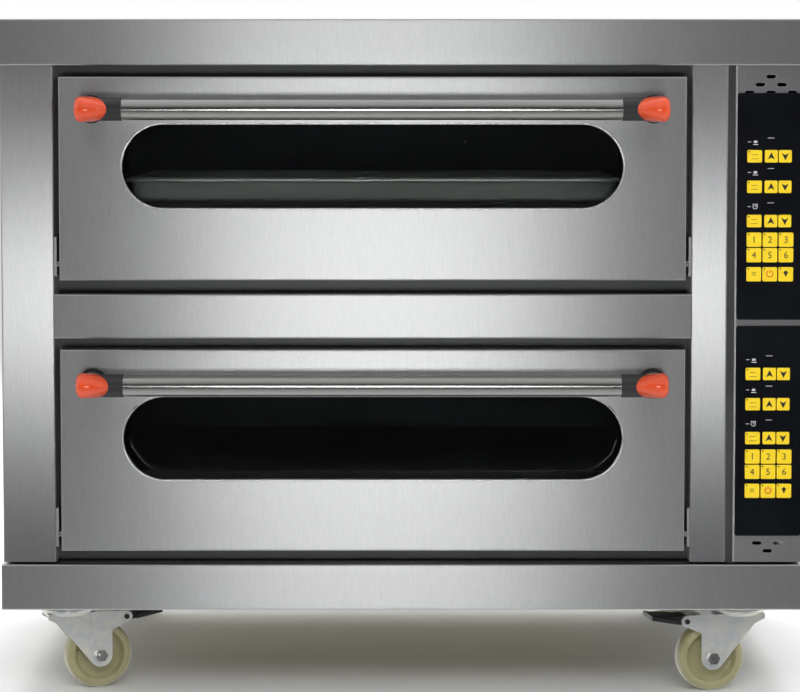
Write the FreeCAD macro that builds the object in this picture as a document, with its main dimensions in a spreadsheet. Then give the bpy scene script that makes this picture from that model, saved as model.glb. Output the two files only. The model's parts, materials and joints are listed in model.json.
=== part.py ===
"""Two-deck bakery oven on casters.

Frame: +X to the right as seen from the front, +Y to the back, +Z up, millimetres.
The origin is on the floor, under the centre of the oven's box.
"""
import FreeCAD, Part
import math
import os
import re
import Sketcher

# ---------------------------------------------------------------- sizes ----
# Each size that can be chosen by itself: alias, value, meaning.
SIZES = [
    # body
    ("body_width", 945.0, "outer width over the rails"),
    ("body_depth", 650.0, "front of the posts to the back panel"),
    ("caster_height", 106.0, "floor to the underside of the body"),
    ("bottom_rail_height", 54.0, "front rail under the lower door"),
    ("mid_rail_height", 52.0, "front rail between the doors"),
    ("top_rail_height", 54.0, "front rail over the upper door"),
    ("gap_below_door", 16.0, "rail to the door's lower edge"),
    ("gap_above_door", 13.0, "door's upper edge to the rail"),
    ("sheet_steel", 1.5, "thickness of the folded sheets"),
    ("bend_radius", 2.0, "outer radius of a folded edge"),
    ("side_inset", 2.0, "rail end to the side panel's outer face"),
    ("left_post_width", 62.0, "left front post"),
    ("right_post_width", 42.0, "right front post"),
    ("bulkhead_width", 8.0, "front edge of the control bulkhead"),
    ("rail_proud", 3.0, "rails stand out in front of the posts"),
    ("rail_flange", 30.0, "depth of the rails' flanges"),
    ("post_gap", 3.0, "post end to the rail"),
    ("frame_tube", 40.0, "square tube of the base frame"),
    ("frame_wall", 2.0, "wall of the base frame's tube"),
    # doors
    ("door_width", 733.0, "door skin"),
    ("door_height", 238.0, "door skin"),
    ("door_skin_depth", 24.0, "depth of the outer pan"),
    ("door_inner_depth", 18.0, "depth of the inner pan"),
    ("door_side_gap", 6.5, "door to post, each side"),
    ("door_proud", 2.0, "door stands out in front of the posts"),
    ("window_length", 586.0, "stadium window, end to end"),
    ("window_height", 98.5, "stadium window"),
    ("window_drop", 104.5, "door's upper edge to the window's centre line"),
    ("window_ledge", 10.0, "insulation stands back from the window all round"),
    ("pane_margin", 27.0, "glass runs past the window all round"),
    ("pane_thickness", 4.0, "each glass pane"),
    ("seal_width", 10.0, "door seal"),
    ("seal_thickness", 6.0, "door seal"),
    ("seal_margin", 6.0, "mouth's edge to the seal"),
    ("rest_gap", 0.3, "between pieces that move past each other"),
    ("pin_height", 19.0, "hinge axis over the door's lower edge"),
    ("pin_depth", 10.0, "hinge axis behind the door's front"),
    ("pin_radius", 4.0, "hinge pin"),
    ("pin_head_radius", 7.0, "head of the pin inside the door"),
    ("pin_head", 3.0, "thickness of that head"),
    ("running_fit", 0.05, "radial clearance of pins and axles"),
    ("bracket_sheet", 3.0, "hinge bracket"),
    ("bracket_height", 46.0, "hinge bracket"),
    # handles
    ("handle_standoff", 45.0, "door's front to the tube's centre line"),
    ("handle_drop", 38.0, "door's upper edge to the tube's centre line"),
    ("handle_radius", 12.5, "handle tube"),
    ("handle_wall", 1.5, "wall of the handle tube"),
    ("handle_span", 575.0, "tube that shows between its sleeves"),
    ("sleeve_radius", 13.4, "elbow bracket"),
    ("elbow_reach", 40.0, "foot's axis to the sleeve's end"),
    ("elbow_bend", 22.0, "bend radius of the elbow's centre line"),
    ("foot_radius", 16.5, "elbow's foot on the door"),
    ("foot_height", 6.0, "elbow's foot on the door"),
    ("tube_entry", 16.0, "tube that enters each sleeve"),
    ("cap_skin", 1.3, "cap over the elbow"),
    ("cap_reach", 23.5, "elbow's foot axis to the cap's tip"),
    # chambers
    ("mouth_height", 140.0, "mouth of a chamber"),
    ("mouth_rise", 80.0, "door's lower edge to the mouth"),
    ("chamber_width", 660.0, "inside of a chamber"),
    ("chamber_height", 200.0, "inside of a chamber"),
    ("chamber_depth", 470.0, "inside of a chamber"),
    ("chamber_rise", 36.0, "door's lower edge to the chamber's floor"),
    ("front_plate_sheet", 2.0, "plate that holds the chamber mouths"),
    ("insulation_side", 44.0, "insulation beside a chamber"),
    ("insulation_back", 55.0, "insulation behind a chamber"),
    ("hearth_thickness", 20.0, "stone hearth"),
    ("hearth_rise", 32.0, "chamber floor to the stone's underside"),
    ("hearth_gap", 5.0, "stone to the chamber's walls"),
    ("ledge_width", 14.0, "ledge that carries the stone"),
    ("element_radius", 4.0, "tubular heating element"),
    ("element_pitch", 90.0, "between the two legs of a hairpin"),
    ("element_spacing", 210.0, "hairpin to hairpin"),
    ("element_length", 330.0, "straight leg of a hairpin"),
    ("element_gap", 12.0, "element's centre to the floor or the ceiling"),
    ("lamp_radius", 18.0, "lamp glass"),
    ("lamp_flange", 24.0, "radius of the lamp's ring"),
    ("lamp_ring", 3.0, "thickness of the lamp's ring"),
    ("lamp_glass", 9.0, "lamp glass inside the chamber"),
    ("lamp_body", 60.0, "lamp holder outside the chamber's wall"),
    ("lamp_rise", 150.0, "chamber floor to the lamp's centre"),
    ("lamp_depth", 60.0, "chamber's front to the lamp's centre"),
    ("probe_radius", 2.0, "temperature probe"),
    ("probe_length", 60.0, "probe inside the chamber"),
    ("probe_tail", 70.0, "probe outside the chamber"),
    ("probe_shift", 120.0, "chamber's middle to the probe"),
    ("probe_rise", 120.0, "chamber floor to the probe"),
    # tray
    ("tray_length", 600.0, "baking tray"),
    ("tray_width", 400.0, "baking tray"),
    ("tray_height", 30.0, "baking tray"),
    ("tray_sheet", 1.2, "baking tray"),
    ("tray_corner", 22.0, "corner radius in plan"),
    ("tray_foot", 10.0, "radius between floor and wall"),
    ("tray_rim", 3.0, "radius of the rolled rim"),
    ("tray_setback", 58.0, "chamber's front to the tray"),
    # controls
    ("membrane_width", 78.0, "membrane keypad"),
    ("membrane_sheet", 1.0, "membrane keypad"),
    ("upper_membrane_height", 265.0, "upper keypad"),
    ("lower_membrane_height", 248.0, "lower keypad"),
    ("membrane_gap", 7.0, "between the keypads"),
    ("membrane_rise", 31.0, "fascia's lower end to the lower keypad"),
    ("key_block_rise", 45.0, "keypad's lower edge to the lowest key"),
    ("key_pitch", 18.7, "columns of keys"),
    ("key_width", 17.3, "large key"),
    ("key_height", 16.8, "large key"),
    ("small_key_width", 15.2, "arrow key"),
    ("small_key_height", 14.6, "arrow key"),
    ("second_row", 22.4, "lowest row of keys to the next, centre to centre"),
    ("third_row", 40.5, "lowest row to the upper row of number keys"),
    ("timer_row", 62.3, "lowest row to the timer's arrow keys"),
    ("floor_heat_row", 102.3, "lowest row to the bottom heat's arrow keys"),
    ("top_heat_row", 137.9, "lowest row to the top heat's arrow keys"),
    ("arrow_shift", 0.7, "keypad's centre line to the first arrow key"),
    ("arrow_pitch", 16.3, "first arrow key to the second"),
    ("key_relief", 0.7, "keys stand out of the keypad"),
    ("vent_length", 11.0, "vent slot"),
    ("vent_height", 4.4, "vent slot"),
    ("vent_pitch_across", 25.0, "vent slots in one row"),
    ("vent_pitch_up", 9.3, "rows of vent slots"),
    ("vent_margin", 13.0, "fascia's end to the first row"),
    ("board_thickness", 1.6, "circuit board"),
    ("board_height", 200.0, "circuit board"),
    ("board_width", 60.0, "circuit board"),
    ("board_standoff", 14.0, "fascia to the board"),
    ("contactor_height", 82.0, "contactor"),
    ("contactor_width", 45.0, "contactor"),
    ("contactor_depth", 70.0, "contactor"),
    ("contactor_pitch", 47.0, "contactors on their rail"),
    ("rail_height", 35.0, "mounting rail of the contactors"),
    ("rail_depth", 7.5, "mounting rail of the contactors"),
    ("rail_rise", 320.0, "body's underside to the mounting rail"),
    ("rail_setback", 220.0, "front plate to the mounting rail"),
    ("gland_bore", 8.0, "radius of the cable gland's bore"),
    ("gland_thread", 12.0, "radius of the cable gland's stem"),
    ("gland_radius", 15.0, "hexagon of the cable gland, over its corners"),
    ("gland_reach", 22.0, "gland behind the back panel"),
    ("gland_inside", 12.0, "gland inside the back panel"),
    ("gland_height", 60.0, "gland's axis over the body's underside"),
    ("gland_inset", 60.0, "gland's axis from the body's right side"),
    ("screw_radius", 2.5, "panel screw"),
    ("screw_head_radius", 5.0, "panel screw"),
    ("screw_head", 2.5, "panel screw"),
    ("screw_length", 10.0, "panel screw"),
    ("screw_margin", 14.0, "panel's edge to the screw"),
    ("louvre_length", 80.0, "slot in the back panel"),
    ("louvre_height", 5.0, "slot in the back panel"),
    ("louvre_pitch", 110.0, "slots in one row"),
    ("louvre_drop", 60.0, "top of the body to the first row of slots"),
    # casters
    ("caster_inset_across", 69.5, "body's side to the swivel axis"),
    ("caster_inset_along", 65.0, "body's front or back to the swivel axis"),
    ("plate_length", 105.0, "caster plate"),
    ("plate_width", 85.0, "caster plate"),
    ("plate_thickness", 3.0, "caster plate"),
    ("plate_hole_length", 80.0, "between the plate's holes, along X"),
    ("plate_hole_width", 60.0, "between the plate's holes, along Y"),
    ("plate_hole_radius", 4.5, "holes of the plate"),
    ("race_radius", 29.0, "race under the plate"),
    ("race_height", 5.0, "race under the plate"),
    ("king_pin_radius", 6.0, "king pin"),
    ("king_head_radius", 10.0, "king pin's head"),
    ("king_head", 3.0, "king pin's head"),
    ("wheel_radius", 40.0, "caster wheel"),
    ("wheel_width", 30.0, "caster wheel"),
    ("wheel_recess_radius", 24.0, "recess in the wheel's faces"),
    ("wheel_recess", 5.0, "depth of that recess"),
    ("hub_radius", 11.0, "wheel's hub"),
    ("hub_width", 31.0, "wheel's hub"),
    ("wheel_shoulder", 4.0, "rounding of the wheel's tread"),
    ("wheel_draft", 1.5, "slope of the recess's walls"),
    ("sleeve_axle_radius", 6.0, "spacer tube on the axle bolt"),
    ("axle_radius", 4.0, "axle bolt"),
    ("axle_head_radius", 7.5, "hexagon over its corners"),
    ("axle_head", 5.5, "bolt head and nut"),
    ("axle_tail", 4.0, "bolt end past the nut"),
    ("trail", 36.0, "swivel axis to the wheel's axle"),
    ("fork_gap", 32.0, "inside the fork"),
    ("fork_sheet", 2.5, "fork"),
    ("fork_nose", 14.0, "radius of the fork's leg round the axle"),
    ("fork_crown_height", 90.0, "floor to the crown's underside"),
    ("fork_dish_radius", 33.0, "dish of the fork's head"),
    ("fork_neck_radius", 24.0, "dish where it meets the crown"),
    ("fork_back", 28.0, "swivel axis to the back end of the fork"),
    ("fork_back_drop", 3.5, "back end of the leg under the crown"),
    ("fork_knee", 15.0, "swivel axis to the bend in the leg's back edge"),
    ("fork_knee_height", 80.0, "floor to that bend"),
    ("fork_armpit", 70.0, "floor to the corner under the lug"),
    ("fork_groove", 3.5, "pressed groove in the leg"),
    ("fork_groove_depth", 1.0, "pressed groove in the leg"),
    ("fork_groove_place", 22.0, "swivel axis to that groove"),
    ("lug_reach", 32.0, "axle to the brake pivot, along the trail"),
    ("lug_height", 85.0, "floor to the brake pivot"),
    ("lug_radius", 7.0, "fork's lug at the brake pivot"),
    ("brake_pin_radius", 3.0, "brake pivot"),
    ("pedal_reach", 44.0, "brake pivot to the pedal's tip"),
    ("pedal_thickness", 5.0, "brake pedal at its tip"),
    ("pedal_boss", 5.5, "radius of the pedal round its pin"),
    ("pedal_rise", 8.0, "pedal's tip over the pivot"),
    ("pedal_width", 42.0, "tread of the pedal"),
    ("pedal_neck", 12.0, "brake pivot to the pedal's tread"),
    ("brake_pin_end", 1.5, "brake pin past the fork"),
    ("front_left_turn", 20.0, "direction of the trail from +X, degrees"),
    ("front_right_turn", 190.0, "direction of the trail from +X, degrees"),
    ("rear_left_turn", -25.0, "direction of the trail from +X, degrees"),
    ("rear_right_turn", 205.0, "direction of the trail from +X, degrees"),
]

# Sizes and places that follow from the ones above.
DERIVED = {
    "opening_height": "gap_below_door + door_height + gap_above_door",
    "body_height": "bottom_rail_height + mid_rail_height + top_rail_height + 2 * opening_height",
    "top_z": "caster_height + body_height",
    "deck_pitch": "opening_height + mid_rail_height",
    "bottom_rail_top": "caster_height + bottom_rail_height",
    "top_rail_bottom": "top_z - top_rail_height",
    "door_z": "bottom_rail_top + gap_below_door",
    "post_z": "bottom_rail_top + post_gap",
    "post_length": "top_rail_bottom - post_z",
    "cap_radius": "sleeve_radius + cap_skin",
    "front_reach": "door_proud + handle_standoff + cap_radius",
    "front_y": "(front_reach - body_depth - gland_reach) / 2",
    "back_y": "front_y + body_depth",
    "door_y": "front_y - door_proud",
    "door_depth": "door_skin_depth + door_inner_depth",
    "plate_y": "door_y + door_depth + seal_thickness + rest_gap",
    "chamber_y": "plate_y + front_plate_sheet",
    "side_x": "body_width / 2 - side_inset",
    "opening_x": "left_post_width - side_x",
    "opening_width": "door_width + 2 * door_side_gap",
    "door_x": "opening_x + door_side_gap",
    "door_middle": "door_x + door_width / 2",
    "right_post_x": "opening_x + opening_width",
    "bulkhead_x": "right_post_x + right_post_width",
    "fascia_x": "bulkhead_x + bulkhead_width",
    "fascia_width": "side_x - fascia_x",
    "fascia_middle": "fascia_x + fascia_width / 2",
    "post_flange": "plate_y - front_y",
    "pin_y": "door_y + pin_depth",
    "frame_y": "front_y - rail_proud + rail_flange",
    "membrane_z": "post_z + membrane_rise",
    "swivel_x": "body_width / 2 - caster_inset_across",
    "front_swivel_y": "front_y + caster_inset_along",
    "back_swivel_y": "back_y - caster_inset_along",
    "leg_out": "fork_gap / 2 + fork_sheet",
    "crown_top": "fork_crown_height + fork_sheet",
    "dish_top": "caster_height - plate_thickness - race_height - rest_gap",
    "lug_x": "trail + lug_reach",
    "inner_side_x": "side_x - sheet_steel",
    "floor_rise": "chamber_rise + hearth_rise + hearth_thickness",
}

Vector = FreeCAD.Vector

doc = FreeCAD.newDocument("deck_oven")
sheet = doc.addObject("Spreadsheet::Sheet", "dims")
for row, (alias, size, meaning) in enumerate(SIZES, start=1):
    sheet.set(f"A{row}", alias)
    sheet.set(f"B{row}", str(size))
    sheet.setAlias(f"B{row}", alias)
    sheet.set(f"C{row}", meaning)
doc.recompute()

ALIASES = {alias for alias, size, meaning in SIZES}
PIECES = []


# -------------------------------------------------------------- helpers ----
def formula(text):
    """Turn plain names into an expression that reads the sheet."""
    def swap(match):
        name = match.group(0)
        if name in DERIVED:
            return "(" + formula(DERIVED[name]) + ")"
        if name in ALIASES:
            return "dims." + name
        return name
    return re.sub(r"[a-z_]+", swap, str(text))


def number(text):
    """The present value of an expression, for a sketch's first layout."""
    return float(sheet.evalExpression(formula(text)))


def bind(item, target, text):
    item.setExpression(target, formula(text))


def place(item, at, turn=None):
    """Bind an object's position and, if given, its turn about +Z."""
    if turn is not None:
        item.Placement.Rotation = FreeCAD.Rotation(Vector(0, 0, 1), number(turn))
        bind(item, "Placement.Rotation.Angle", turn)
    for axis, text in zip("xyz", at):
        bind(item, "Placement.Base." + axis, text)
    return item


def piece(label, item):
    """Name a finished sub-part."""
    item.Label = label
    PIECES.append(item)
    return item


def box(name, size, at):
    item = doc.addObject("Part::Box", name)
    for edge, text in zip(("Length", "Width", "Height"), size):
        bind(item, edge, text)
    return place(item, at)


ALONG = {
    "x": FreeCAD.Rotation(Vector(0, 0, 1), Vector(1, 0, 0)),
    "-x": FreeCAD.Rotation(Vector(0, 0, 1), Vector(-1, 0, 0)),
    "y": FreeCAD.Rotation(Vector(0, 0, 1), Vector(0, 1, 0)),
    "-y": FreeCAD.Rotation(Vector(0, 0, 1), Vector(0, -1, 0)),
    "z": FreeCAD.Rotation(),
}


def cylinder(name, radius, height, at, along="z"):
    item = doc.addObject("Part::Cylinder", name)
    item.Placement.Rotation = ALONG[along]
    bind(item, "Radius", radius)
    bind(item, "Height", height)
    return place(item, at)


def hexagon(name, radius, height, at, along):
    item = doc.addObject("Part::Prism", name)
    item.Placement.Rotation = ALONG[along]
    item.Polygon = 6
    bind(item, "Circumradius", radius)
    bind(item, "Height", height)
    return place(item, at)


def bend(name, ring, radius, sweep, start, at):
    """A bent rod in the XY plane: part of a torus from the angle start on."""
    item = doc.addObject("Part::Torus", name)
    item.Placement.Rotation = FreeCAD.Rotation(Vector(0, 0, 1), start)
    item.Angle3 = sweep
    bind(item, "Radius1", ring)
    bind(item, "Radius2", radius)
    return place(item, at)


def fuse(name, items):
    item = doc.addObject("Part::MultiFuse", name)
    item.Shapes = items
    return item


def cut(name, base, tools):
    item = doc.addObject("Part::Cut", name)
    item.Base = base
    item.Tool = tools[0] if len(tools) == 1 else fuse(name + "_tools", tools)
    return item


def group(name, items):
    item = doc.addObject("Part::Compound", name)
    item.Links = items
    return item


def sketch(body, plane, lift="0"):
    """A sketch on one of the body's own origin planes, lifted along its normal."""
    item = body.newObject("Sketcher::SketchObject", body.Name + "_sketch")
    support = [face for face in body.Origin.OriginFeatures if face.Role == plane]
    item.AttachmentSupport = [(support[0], "")]
    item.MapMode = "FlatFace"
    bind(item, "AttachmentOffset.Base.z", lift)
    return item


def hold(outline, entity, point, at):
    """Fix one point of a sketch by its two coordinates."""
    for kind, text in zip(("DistanceX", "DistanceY"), at):
        rule = Sketcher.Constraint(kind, -1, 1, entity, point, number(text))
        bind(outline, f"Constraints[{outline.addConstraint(rule)}]", text)


def polygon(outline, points):
    first = outline.GeometryCount
    flat = [Vector(number(x), number(y), 0) for x, y in points]
    for start, end in zip(flat, flat[1:] + flat[:1]):
        outline.addGeometry(Part.LineSegment(start, end), False)
    for index, at in enumerate(points):
        following = first + (index + 1) % len(points)
        outline.addConstraint(Sketcher.Constraint("Coincident", first + index, 2, following, 1))
        hold(outline, first + index, 1, at)


def rectangle(outline, low, high):
    polygon(outline, [low, (high[0], low[1]), high, (low[0], high[1])])


def circle(outline, centre, radius):
    middle = Vector(number(centre[0]), number(centre[1]), 0)
    size = number(radius)
    entity = outline.addGeometry(Part.Circle(middle, Vector(0, 0, 1), size), False)
    hold(outline, entity, 3, centre)
    rule = Sketcher.Constraint("Radius", entity, size)
    bind(outline, f"Constraints[{outline.addConstraint(rule)}]", radius)


def stadium(outline, centre, length, height):
    """A slot with round ends, lying along the sketch's first axis."""
    first = outline.GeometryCount
    radius = f"({height}) / 2"
    size = number(radius)
    reach = f"(({length}) - ({height})) / 2"
    ends = [(f"{centre[0]} - {reach}", centre[1]), (f"{centre[0]} + {reach}", centre[1])]
    left, right = [Vector(number(x), number(y), 0) for x, y in ends]
    up = Vector(0, size, 0)
    axis = Vector(0, 0, 1)
    quarter = math.pi / 2
    left_end = Part.ArcOfCircle(Part.Circle(left, axis, size), quarter, 3 * quarter)
    right_end = Part.ArcOfCircle(Part.Circle(right, axis, size), -quarter, quarter)
    outline.addGeometry(left_end, False)
    outline.addGeometry(Part.LineSegment(left - up, right - up), False)
    outline.addGeometry(right_end, False)
    outline.addGeometry(Part.LineSegment(right + up, left + up), False)
    for step in range(4):
        following = first + (step + 1) % 4
        outline.addConstraint(Sketcher.Constraint("Tangent", first + step, 2, following, 1))
    outline.addConstraint(Sketcher.Constraint("Equal", first, first + 2))
    hold(outline, first, 3, ends[0])
    hold(outline, first + 2, 3, ends[1])
    rule = Sketcher.Constraint("Radius", first, size)
    bind(outline, f"Constraints[{outline.addConstraint(rule)}]", radius)


def pad(body, outline, length, reverse=False):
    item = body.newObject("PartDesign::Pad", body.Name + "_pad")
    item.Profile = outline
    item.Reversed = reverse
    bind(item, "Length", length)
    return item


def pocket(body, outline, length=None, reverse=False, both=False):
    """A cut to a depth or, with no depth, through everything."""
    item = body.newObject("PartDesign::Pocket", body.Name + "_pocket")
    item.Profile = outline
    item.Reversed = reverse
    item.Midplane = both
    if length is None:
        item.Type = "ThroughAll"
    else:
        bind(item, "Length", length)
    return item


def revolve(body, outline):
    """A full turn about the sketch's own upright axis."""
    item = body.newObject("PartDesign::Revolution", body.Name + "_turn")
    item.Profile = outline
    item.ReferenceAxis = (outline, ["V_Axis"])
    item.Angle = 360
    return item


def round_edges(body, feature, radius, wanted):
    """Fillet the edges of a feature that the test accepts."""
    doc.recompute()
    names = [f"Edge{index}" for index, edge in enumerate(feature.Shape.Edges, start=1) if wanted(edge)]
    item = body.newObject("PartDesign::Fillet", body.Name + "_fillet")
    item.Base = (feature, names)
    bind(item, "Radius", radius)
    return item


def lies_in(edge, axis, value):
    """Whether an edge lies in the plane where the axis has that value."""
    low = getattr(edge.BoundBox, axis + "Min")
    high = getattr(edge.BoundBox, axis + "Max")
    return abs(low - value) < 0.01 and abs(high - value) < 0.01


def body_named(name, at, turn=None):
    return place(doc.addObject("PartDesign::Body", name), at, turn)


# --------------------------------------------------- front of the casing ----
def channel(label, plane, across, flange, length, at, upright=False, closed=False):
    """A sheet folded to a C that opens to the back, its two front bends rounded."""
    body = body_named(label, at)
    section = sketch(body, plane)
    steel = "sheet_steel"
    inner = f"{across} - {steel}"
    outline = [("0", "0"), (flange, "0"), (flange, steel), (steel, steel),
               (steel, inner), (flange, inner), (flange, across), ("0", across)]
    if upright:
        outline = [(width, depth) for depth, width in outline]
    polygon(section, outline)
    raised = pad(body, section, length)
    if closed:
        for lift in ("0", f"{length} - {steel}"):
            end = sketch(body, plane, lift)
            rectangle(end, ("0", "0"), (flange, across))
            raised = pad(body, end, steel)
    run = number(length)
    round_edges(body, raised, "bend_radius",
                lambda edge: lies_in(edge, "Y", 0) and abs(edge.Length - run) < 0.01)
    return body


def rail(label, height, low_x, length, low_z, closed):
    at = (low_x, "front_y - rail_proud", low_z)
    piece(label, channel(label, "YZ_Plane", height, "rail_flange", length, at, closed=closed))


def post(label, width, low_x):
    at = (low_x, "front_y", "post_z")
    return channel(label, "XY_Plane", width, "post_flange", "post_length", at, upright=True)


def make_front():
    rail("bottom_rail", "bottom_rail_height", "-body_width / 2", "body_width", "caster_height", True)
    rail("middle_rail", "mid_rail_height", "opening_x", "opening_width", "bottom_rail_top + opening_height", False)
    rail("top_rail", "top_rail_height", "-body_width / 2", "body_width", "top_rail_bottom", True)
    piece("left_post", post("left_post", "left_post_width", "-side_x"))
    piece("right_post", post("right_post", "right_post_width", "right_post_x"))


def make_front_plate():
    """The plate behind the doors, with the mouths of both chambers."""
    blank = box("front_plate_blank",
                ("bulkhead_x + inner_side_x", "front_plate_sheet", "body_height - frame_tube - sheet_steel"),
                ("-inner_side_x", "plate_y", "caster_height + frame_tube"))
    mouths = [box("mouth", ("chamber_width", "front_plate_sheet", "mouth_height"),
                  ("door_middle - chamber_width / 2", "plate_y", f"door_z + {deck} * deck_pitch + mouth_rise"))
              for deck in (0, 1)]
    piece("front_plate", cut("front_plate", blank, mouths))


# ----------------------------------------------------- frame and panels ----
def make_base_frame():
    """A rectangle of square tube; its hollow runs all the way round."""
    def ring(name, inset, low_z, tall):
        def block(part, shrink):
            margin = f"({shrink})"
            return box(name + part,
                       (f"2 * (inner_side_x - {margin})",
                        f"back_y - sheet_steel - frame_y - 2 * {margin}", tall),
                       (f"{margin} - inner_side_x", f"frame_y + {margin}", low_z))
        return cut(name, block("_outside", inset), [block("_inside", f"frame_tube - {inset}")])

    tube = ring("tube", "0", "caster_height", "frame_tube")
    hollow = ring("tube_hollow", "frame_wall", "caster_height + frame_wall", "frame_tube - 2 * frame_wall")
    piece("base_frame", cut("base_frame", tube, [hollow]))


def make_panels():
    for label, low_x in (("left_side_panel", "-side_x"), ("right_side_panel", "inner_side_x")):
        blank = box(label + "_blank", ("sheet_steel", "back_y - frame_y", "body_height - sheet_steel"),
                    (low_x, "frame_y", "caster_height"))
        notch = box(label + "_notch", ("sheet_steel", "plate_y - frame_y", "top_rail_bottom - bottom_rail_top"),
                    (low_x, "frame_y", "bottom_rail_top"))
        piece(label, cut(label, blank, [notch]))
    piece("top_panel", box("top_panel", ("2 * side_x", "back_y - frame_y", "sheet_steel"),
                           ("-side_x", "frame_y", "top_z - sheet_steel")))


def screw_places():
    """The back panel's screws: two upright rows."""
    rise = "(body_height - frame_tube - 2 * screw_margin) / 5"
    for side in (-1, 1):
        for step in range(1, 6):
            yield (f"{side} * (inner_side_x - screw_margin)",
                   f"caster_height + frame_tube + screw_margin + ({step} - 0.5) * {rise}")


def make_back_panel():
    blank = box("back_blank", ("2 * inner_side_x", "sheet_steel", "body_height - sheet_steel"),
                ("-inner_side_x", "back_y - sheet_steel", "caster_height"))
    gland_at = ("side_x - gland_inset", "back_y - sheet_steel", "caster_height + gland_height")
    tools = [cylinder("gland_hole", "gland_thread + running_fit", "sheet_steel", gland_at, "y")]
    for x, z in screw_places():
        tools.append(cylinder("screw_hole", "screw_radius + running_fit", "sheet_steel",
                              (x, "back_y - sheet_steel", z), "y"))
    for column in range(-3, 4):
        for row in range(6):
            tools.append(box("louvre", ("louvre_length", "sheet_steel", "louvre_height"),
                             (f"{column} * louvre_pitch - louvre_length / 2", "back_y - sheet_steel",
                              f"top_z - louvre_drop - {row} * 3 * louvre_height")))
    piece("back_panel", cut("back_panel", blank, tools))


def make_screws():
    screws = []
    for x, z in screw_places():
        shank = cylinder("shank", "screw_radius", "screw_length", (x, "back_y", z), "-y")
        head = cylinder("head", "screw_head_radius", "screw_head", (x, "back_y", z), "y")
        screws.append(fuse("screw", [shank, head]))
    piece("panel_screws", group("panel_screws", screws))


def make_cable_gland():
    x = "side_x - gland_inset"
    z = "caster_height + gland_height"
    stem = cylinder("gland_stem", "gland_thread", "gland_inside + gland_reach",
                    (x, "back_y - gland_inside", z), "y")
    collar = hexagon("gland_collar", "gland_radius", "gland_reach / 3", (x, "back_y", z), "y")
    nut = hexagon("gland_nut", "gland_radius", "gland_inside / 2", (x, "back_y - sheet_steel", z), "-y")
    bore = cylinder("gland_bore_tool", "gland_bore", "gland_inside + gland_reach",
                    (x, "back_y - gland_inside", z), "y")
    solid = fuse("gland_solid", [stem, collar, nut])
    piece("cable_gland", cut("cable_gland", solid, [bore]))


# ------------------------------------------------------------- chambers ----
DECKS = (("lower", 0), ("upper", 1))


def deck_z(deck, rise):
    """A height over the lower edge of a deck's door."""
    return f"door_z + {deck} * deck_pitch + {rise}"


def lamp_tool(deck, extra):
    """The straight way of the lamp holder through the wall and the insulation."""
    return cylinder("lamp_way", f"lamp_radius + {extra}", "lamp_body",
                    ("door_middle + chamber_width / 2", "chamber_y + lamp_depth",
                     deck_z(deck, "chamber_rise + lamp_rise")), "x")


def probe_tool(deck, extra, inside):
    return cylinder("probe_way", f"probe_radius + {extra}", f"probe_tail + {inside}",
                    ("door_middle + probe_shift", f"chamber_y + chamber_depth - {inside}",
                     deck_z(deck, "chamber_rise + probe_rise")), "y")


def make_chamber(name, deck):
    """A box of sheet that is open to the front, with a ledge on each side for the stone."""
    outside = box(name + "_outside",
                  ("chamber_width + 2 * sheet_steel", "chamber_depth + sheet_steel",
                   "chamber_height + 2 * sheet_steel"),
                  ("door_middle - chamber_width / 2 - sheet_steel", "chamber_y",
                   deck_z(deck, "chamber_rise - sheet_steel")))
    inside = box(name + "_inside", ("chamber_width", "chamber_depth", "chamber_height"),
                 ("door_middle - chamber_width / 2", "chamber_y", deck_z(deck, "chamber_rise")))
    shell = cut(name + "_shell", outside, [inside])
    ledges = [box(name + "_ledge", ("ledge_width", "chamber_depth", "2 * sheet_steel"),
                  (f"door_middle + {side} * (chamber_width / 2 - ledge_width / 2) - ledge_width / 2",
                   "chamber_y", deck_z(deck, "chamber_rise + hearth_rise - 2 * sheet_steel")))
              for side in (-1, 1)]
    tools = [lamp_tool(deck, "running_fit"), probe_tool(deck, "running_fit", "0")]
    piece(name, cut(name, fuse(name + "_with_ledges", [shell] + ledges), tools))


def make_insulation():
    """One block round each chamber; the two blocks meet half way between the decks."""
    blocks = []
    thick = "(deck_pitch - chamber_height - 2 * sheet_steel) / 2"
    wide = "chamber_width + 2 * sheet_steel"
    for deck_name, deck in DECKS:
        outside = box(deck_name + "_wool_outside",
                      (f"{wide} + 2 * insulation_side", "chamber_depth + sheet_steel + insulation_back",
                       "deck_pitch"),
                      (f"door_middle - ({wide}) / 2 - insulation_side", "chamber_y",
                       deck_z(deck, f"chamber_rise - sheet_steel - {thick}")))
        inside = box(deck_name + "_wool_inside",
                     (wide, "chamber_depth + sheet_steel", "chamber_height + 2 * sheet_steel"),
                     (f"door_middle - ({wide}) / 2", "chamber_y", deck_z(deck, "chamber_rise - sheet_steel")))
        tools = [inside, lamp_tool(deck, "running_fit"), probe_tool(deck, "running_fit", "0")]
        blocks.append(cut(deck_name + "_wool", outside, tools))
    piece("chamber_insulation", group("chamber_insulation", blocks))


def make_hearths():
    slabs = [box(deck_name + "_slab",
                 ("chamber_width - 2 * hearth_gap", "chamber_depth - 2 * hearth_gap", "hearth_thickness"),
                 ("door_middle - chamber_width / 2 + hearth_gap", "chamber_y + hearth_gap",
                  deck_z(deck, "chamber_rise + hearth_rise")))
             for deck_name, deck in DECKS]
    piece("hearth_stones", group("hearth_stones", slabs))


def hairpin(middle_x, height):
    """A heating rod bent to a U whose two ends meet the chamber's back wall."""
    back = "chamber_y + chamber_depth"
    legs = [cylinder("rod", "element_radius", "element_length",
                     (f"{middle_x} + {side} * element_pitch / 2", back, height), "-y")
            for side in (-1, 1)]
    turn = bend("rod_bend", "element_pitch / 2", "element_radius", 180, 180,
                (middle_x, f"{back} - element_length", height))
    return fuse("hairpin", legs + [turn])


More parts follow.
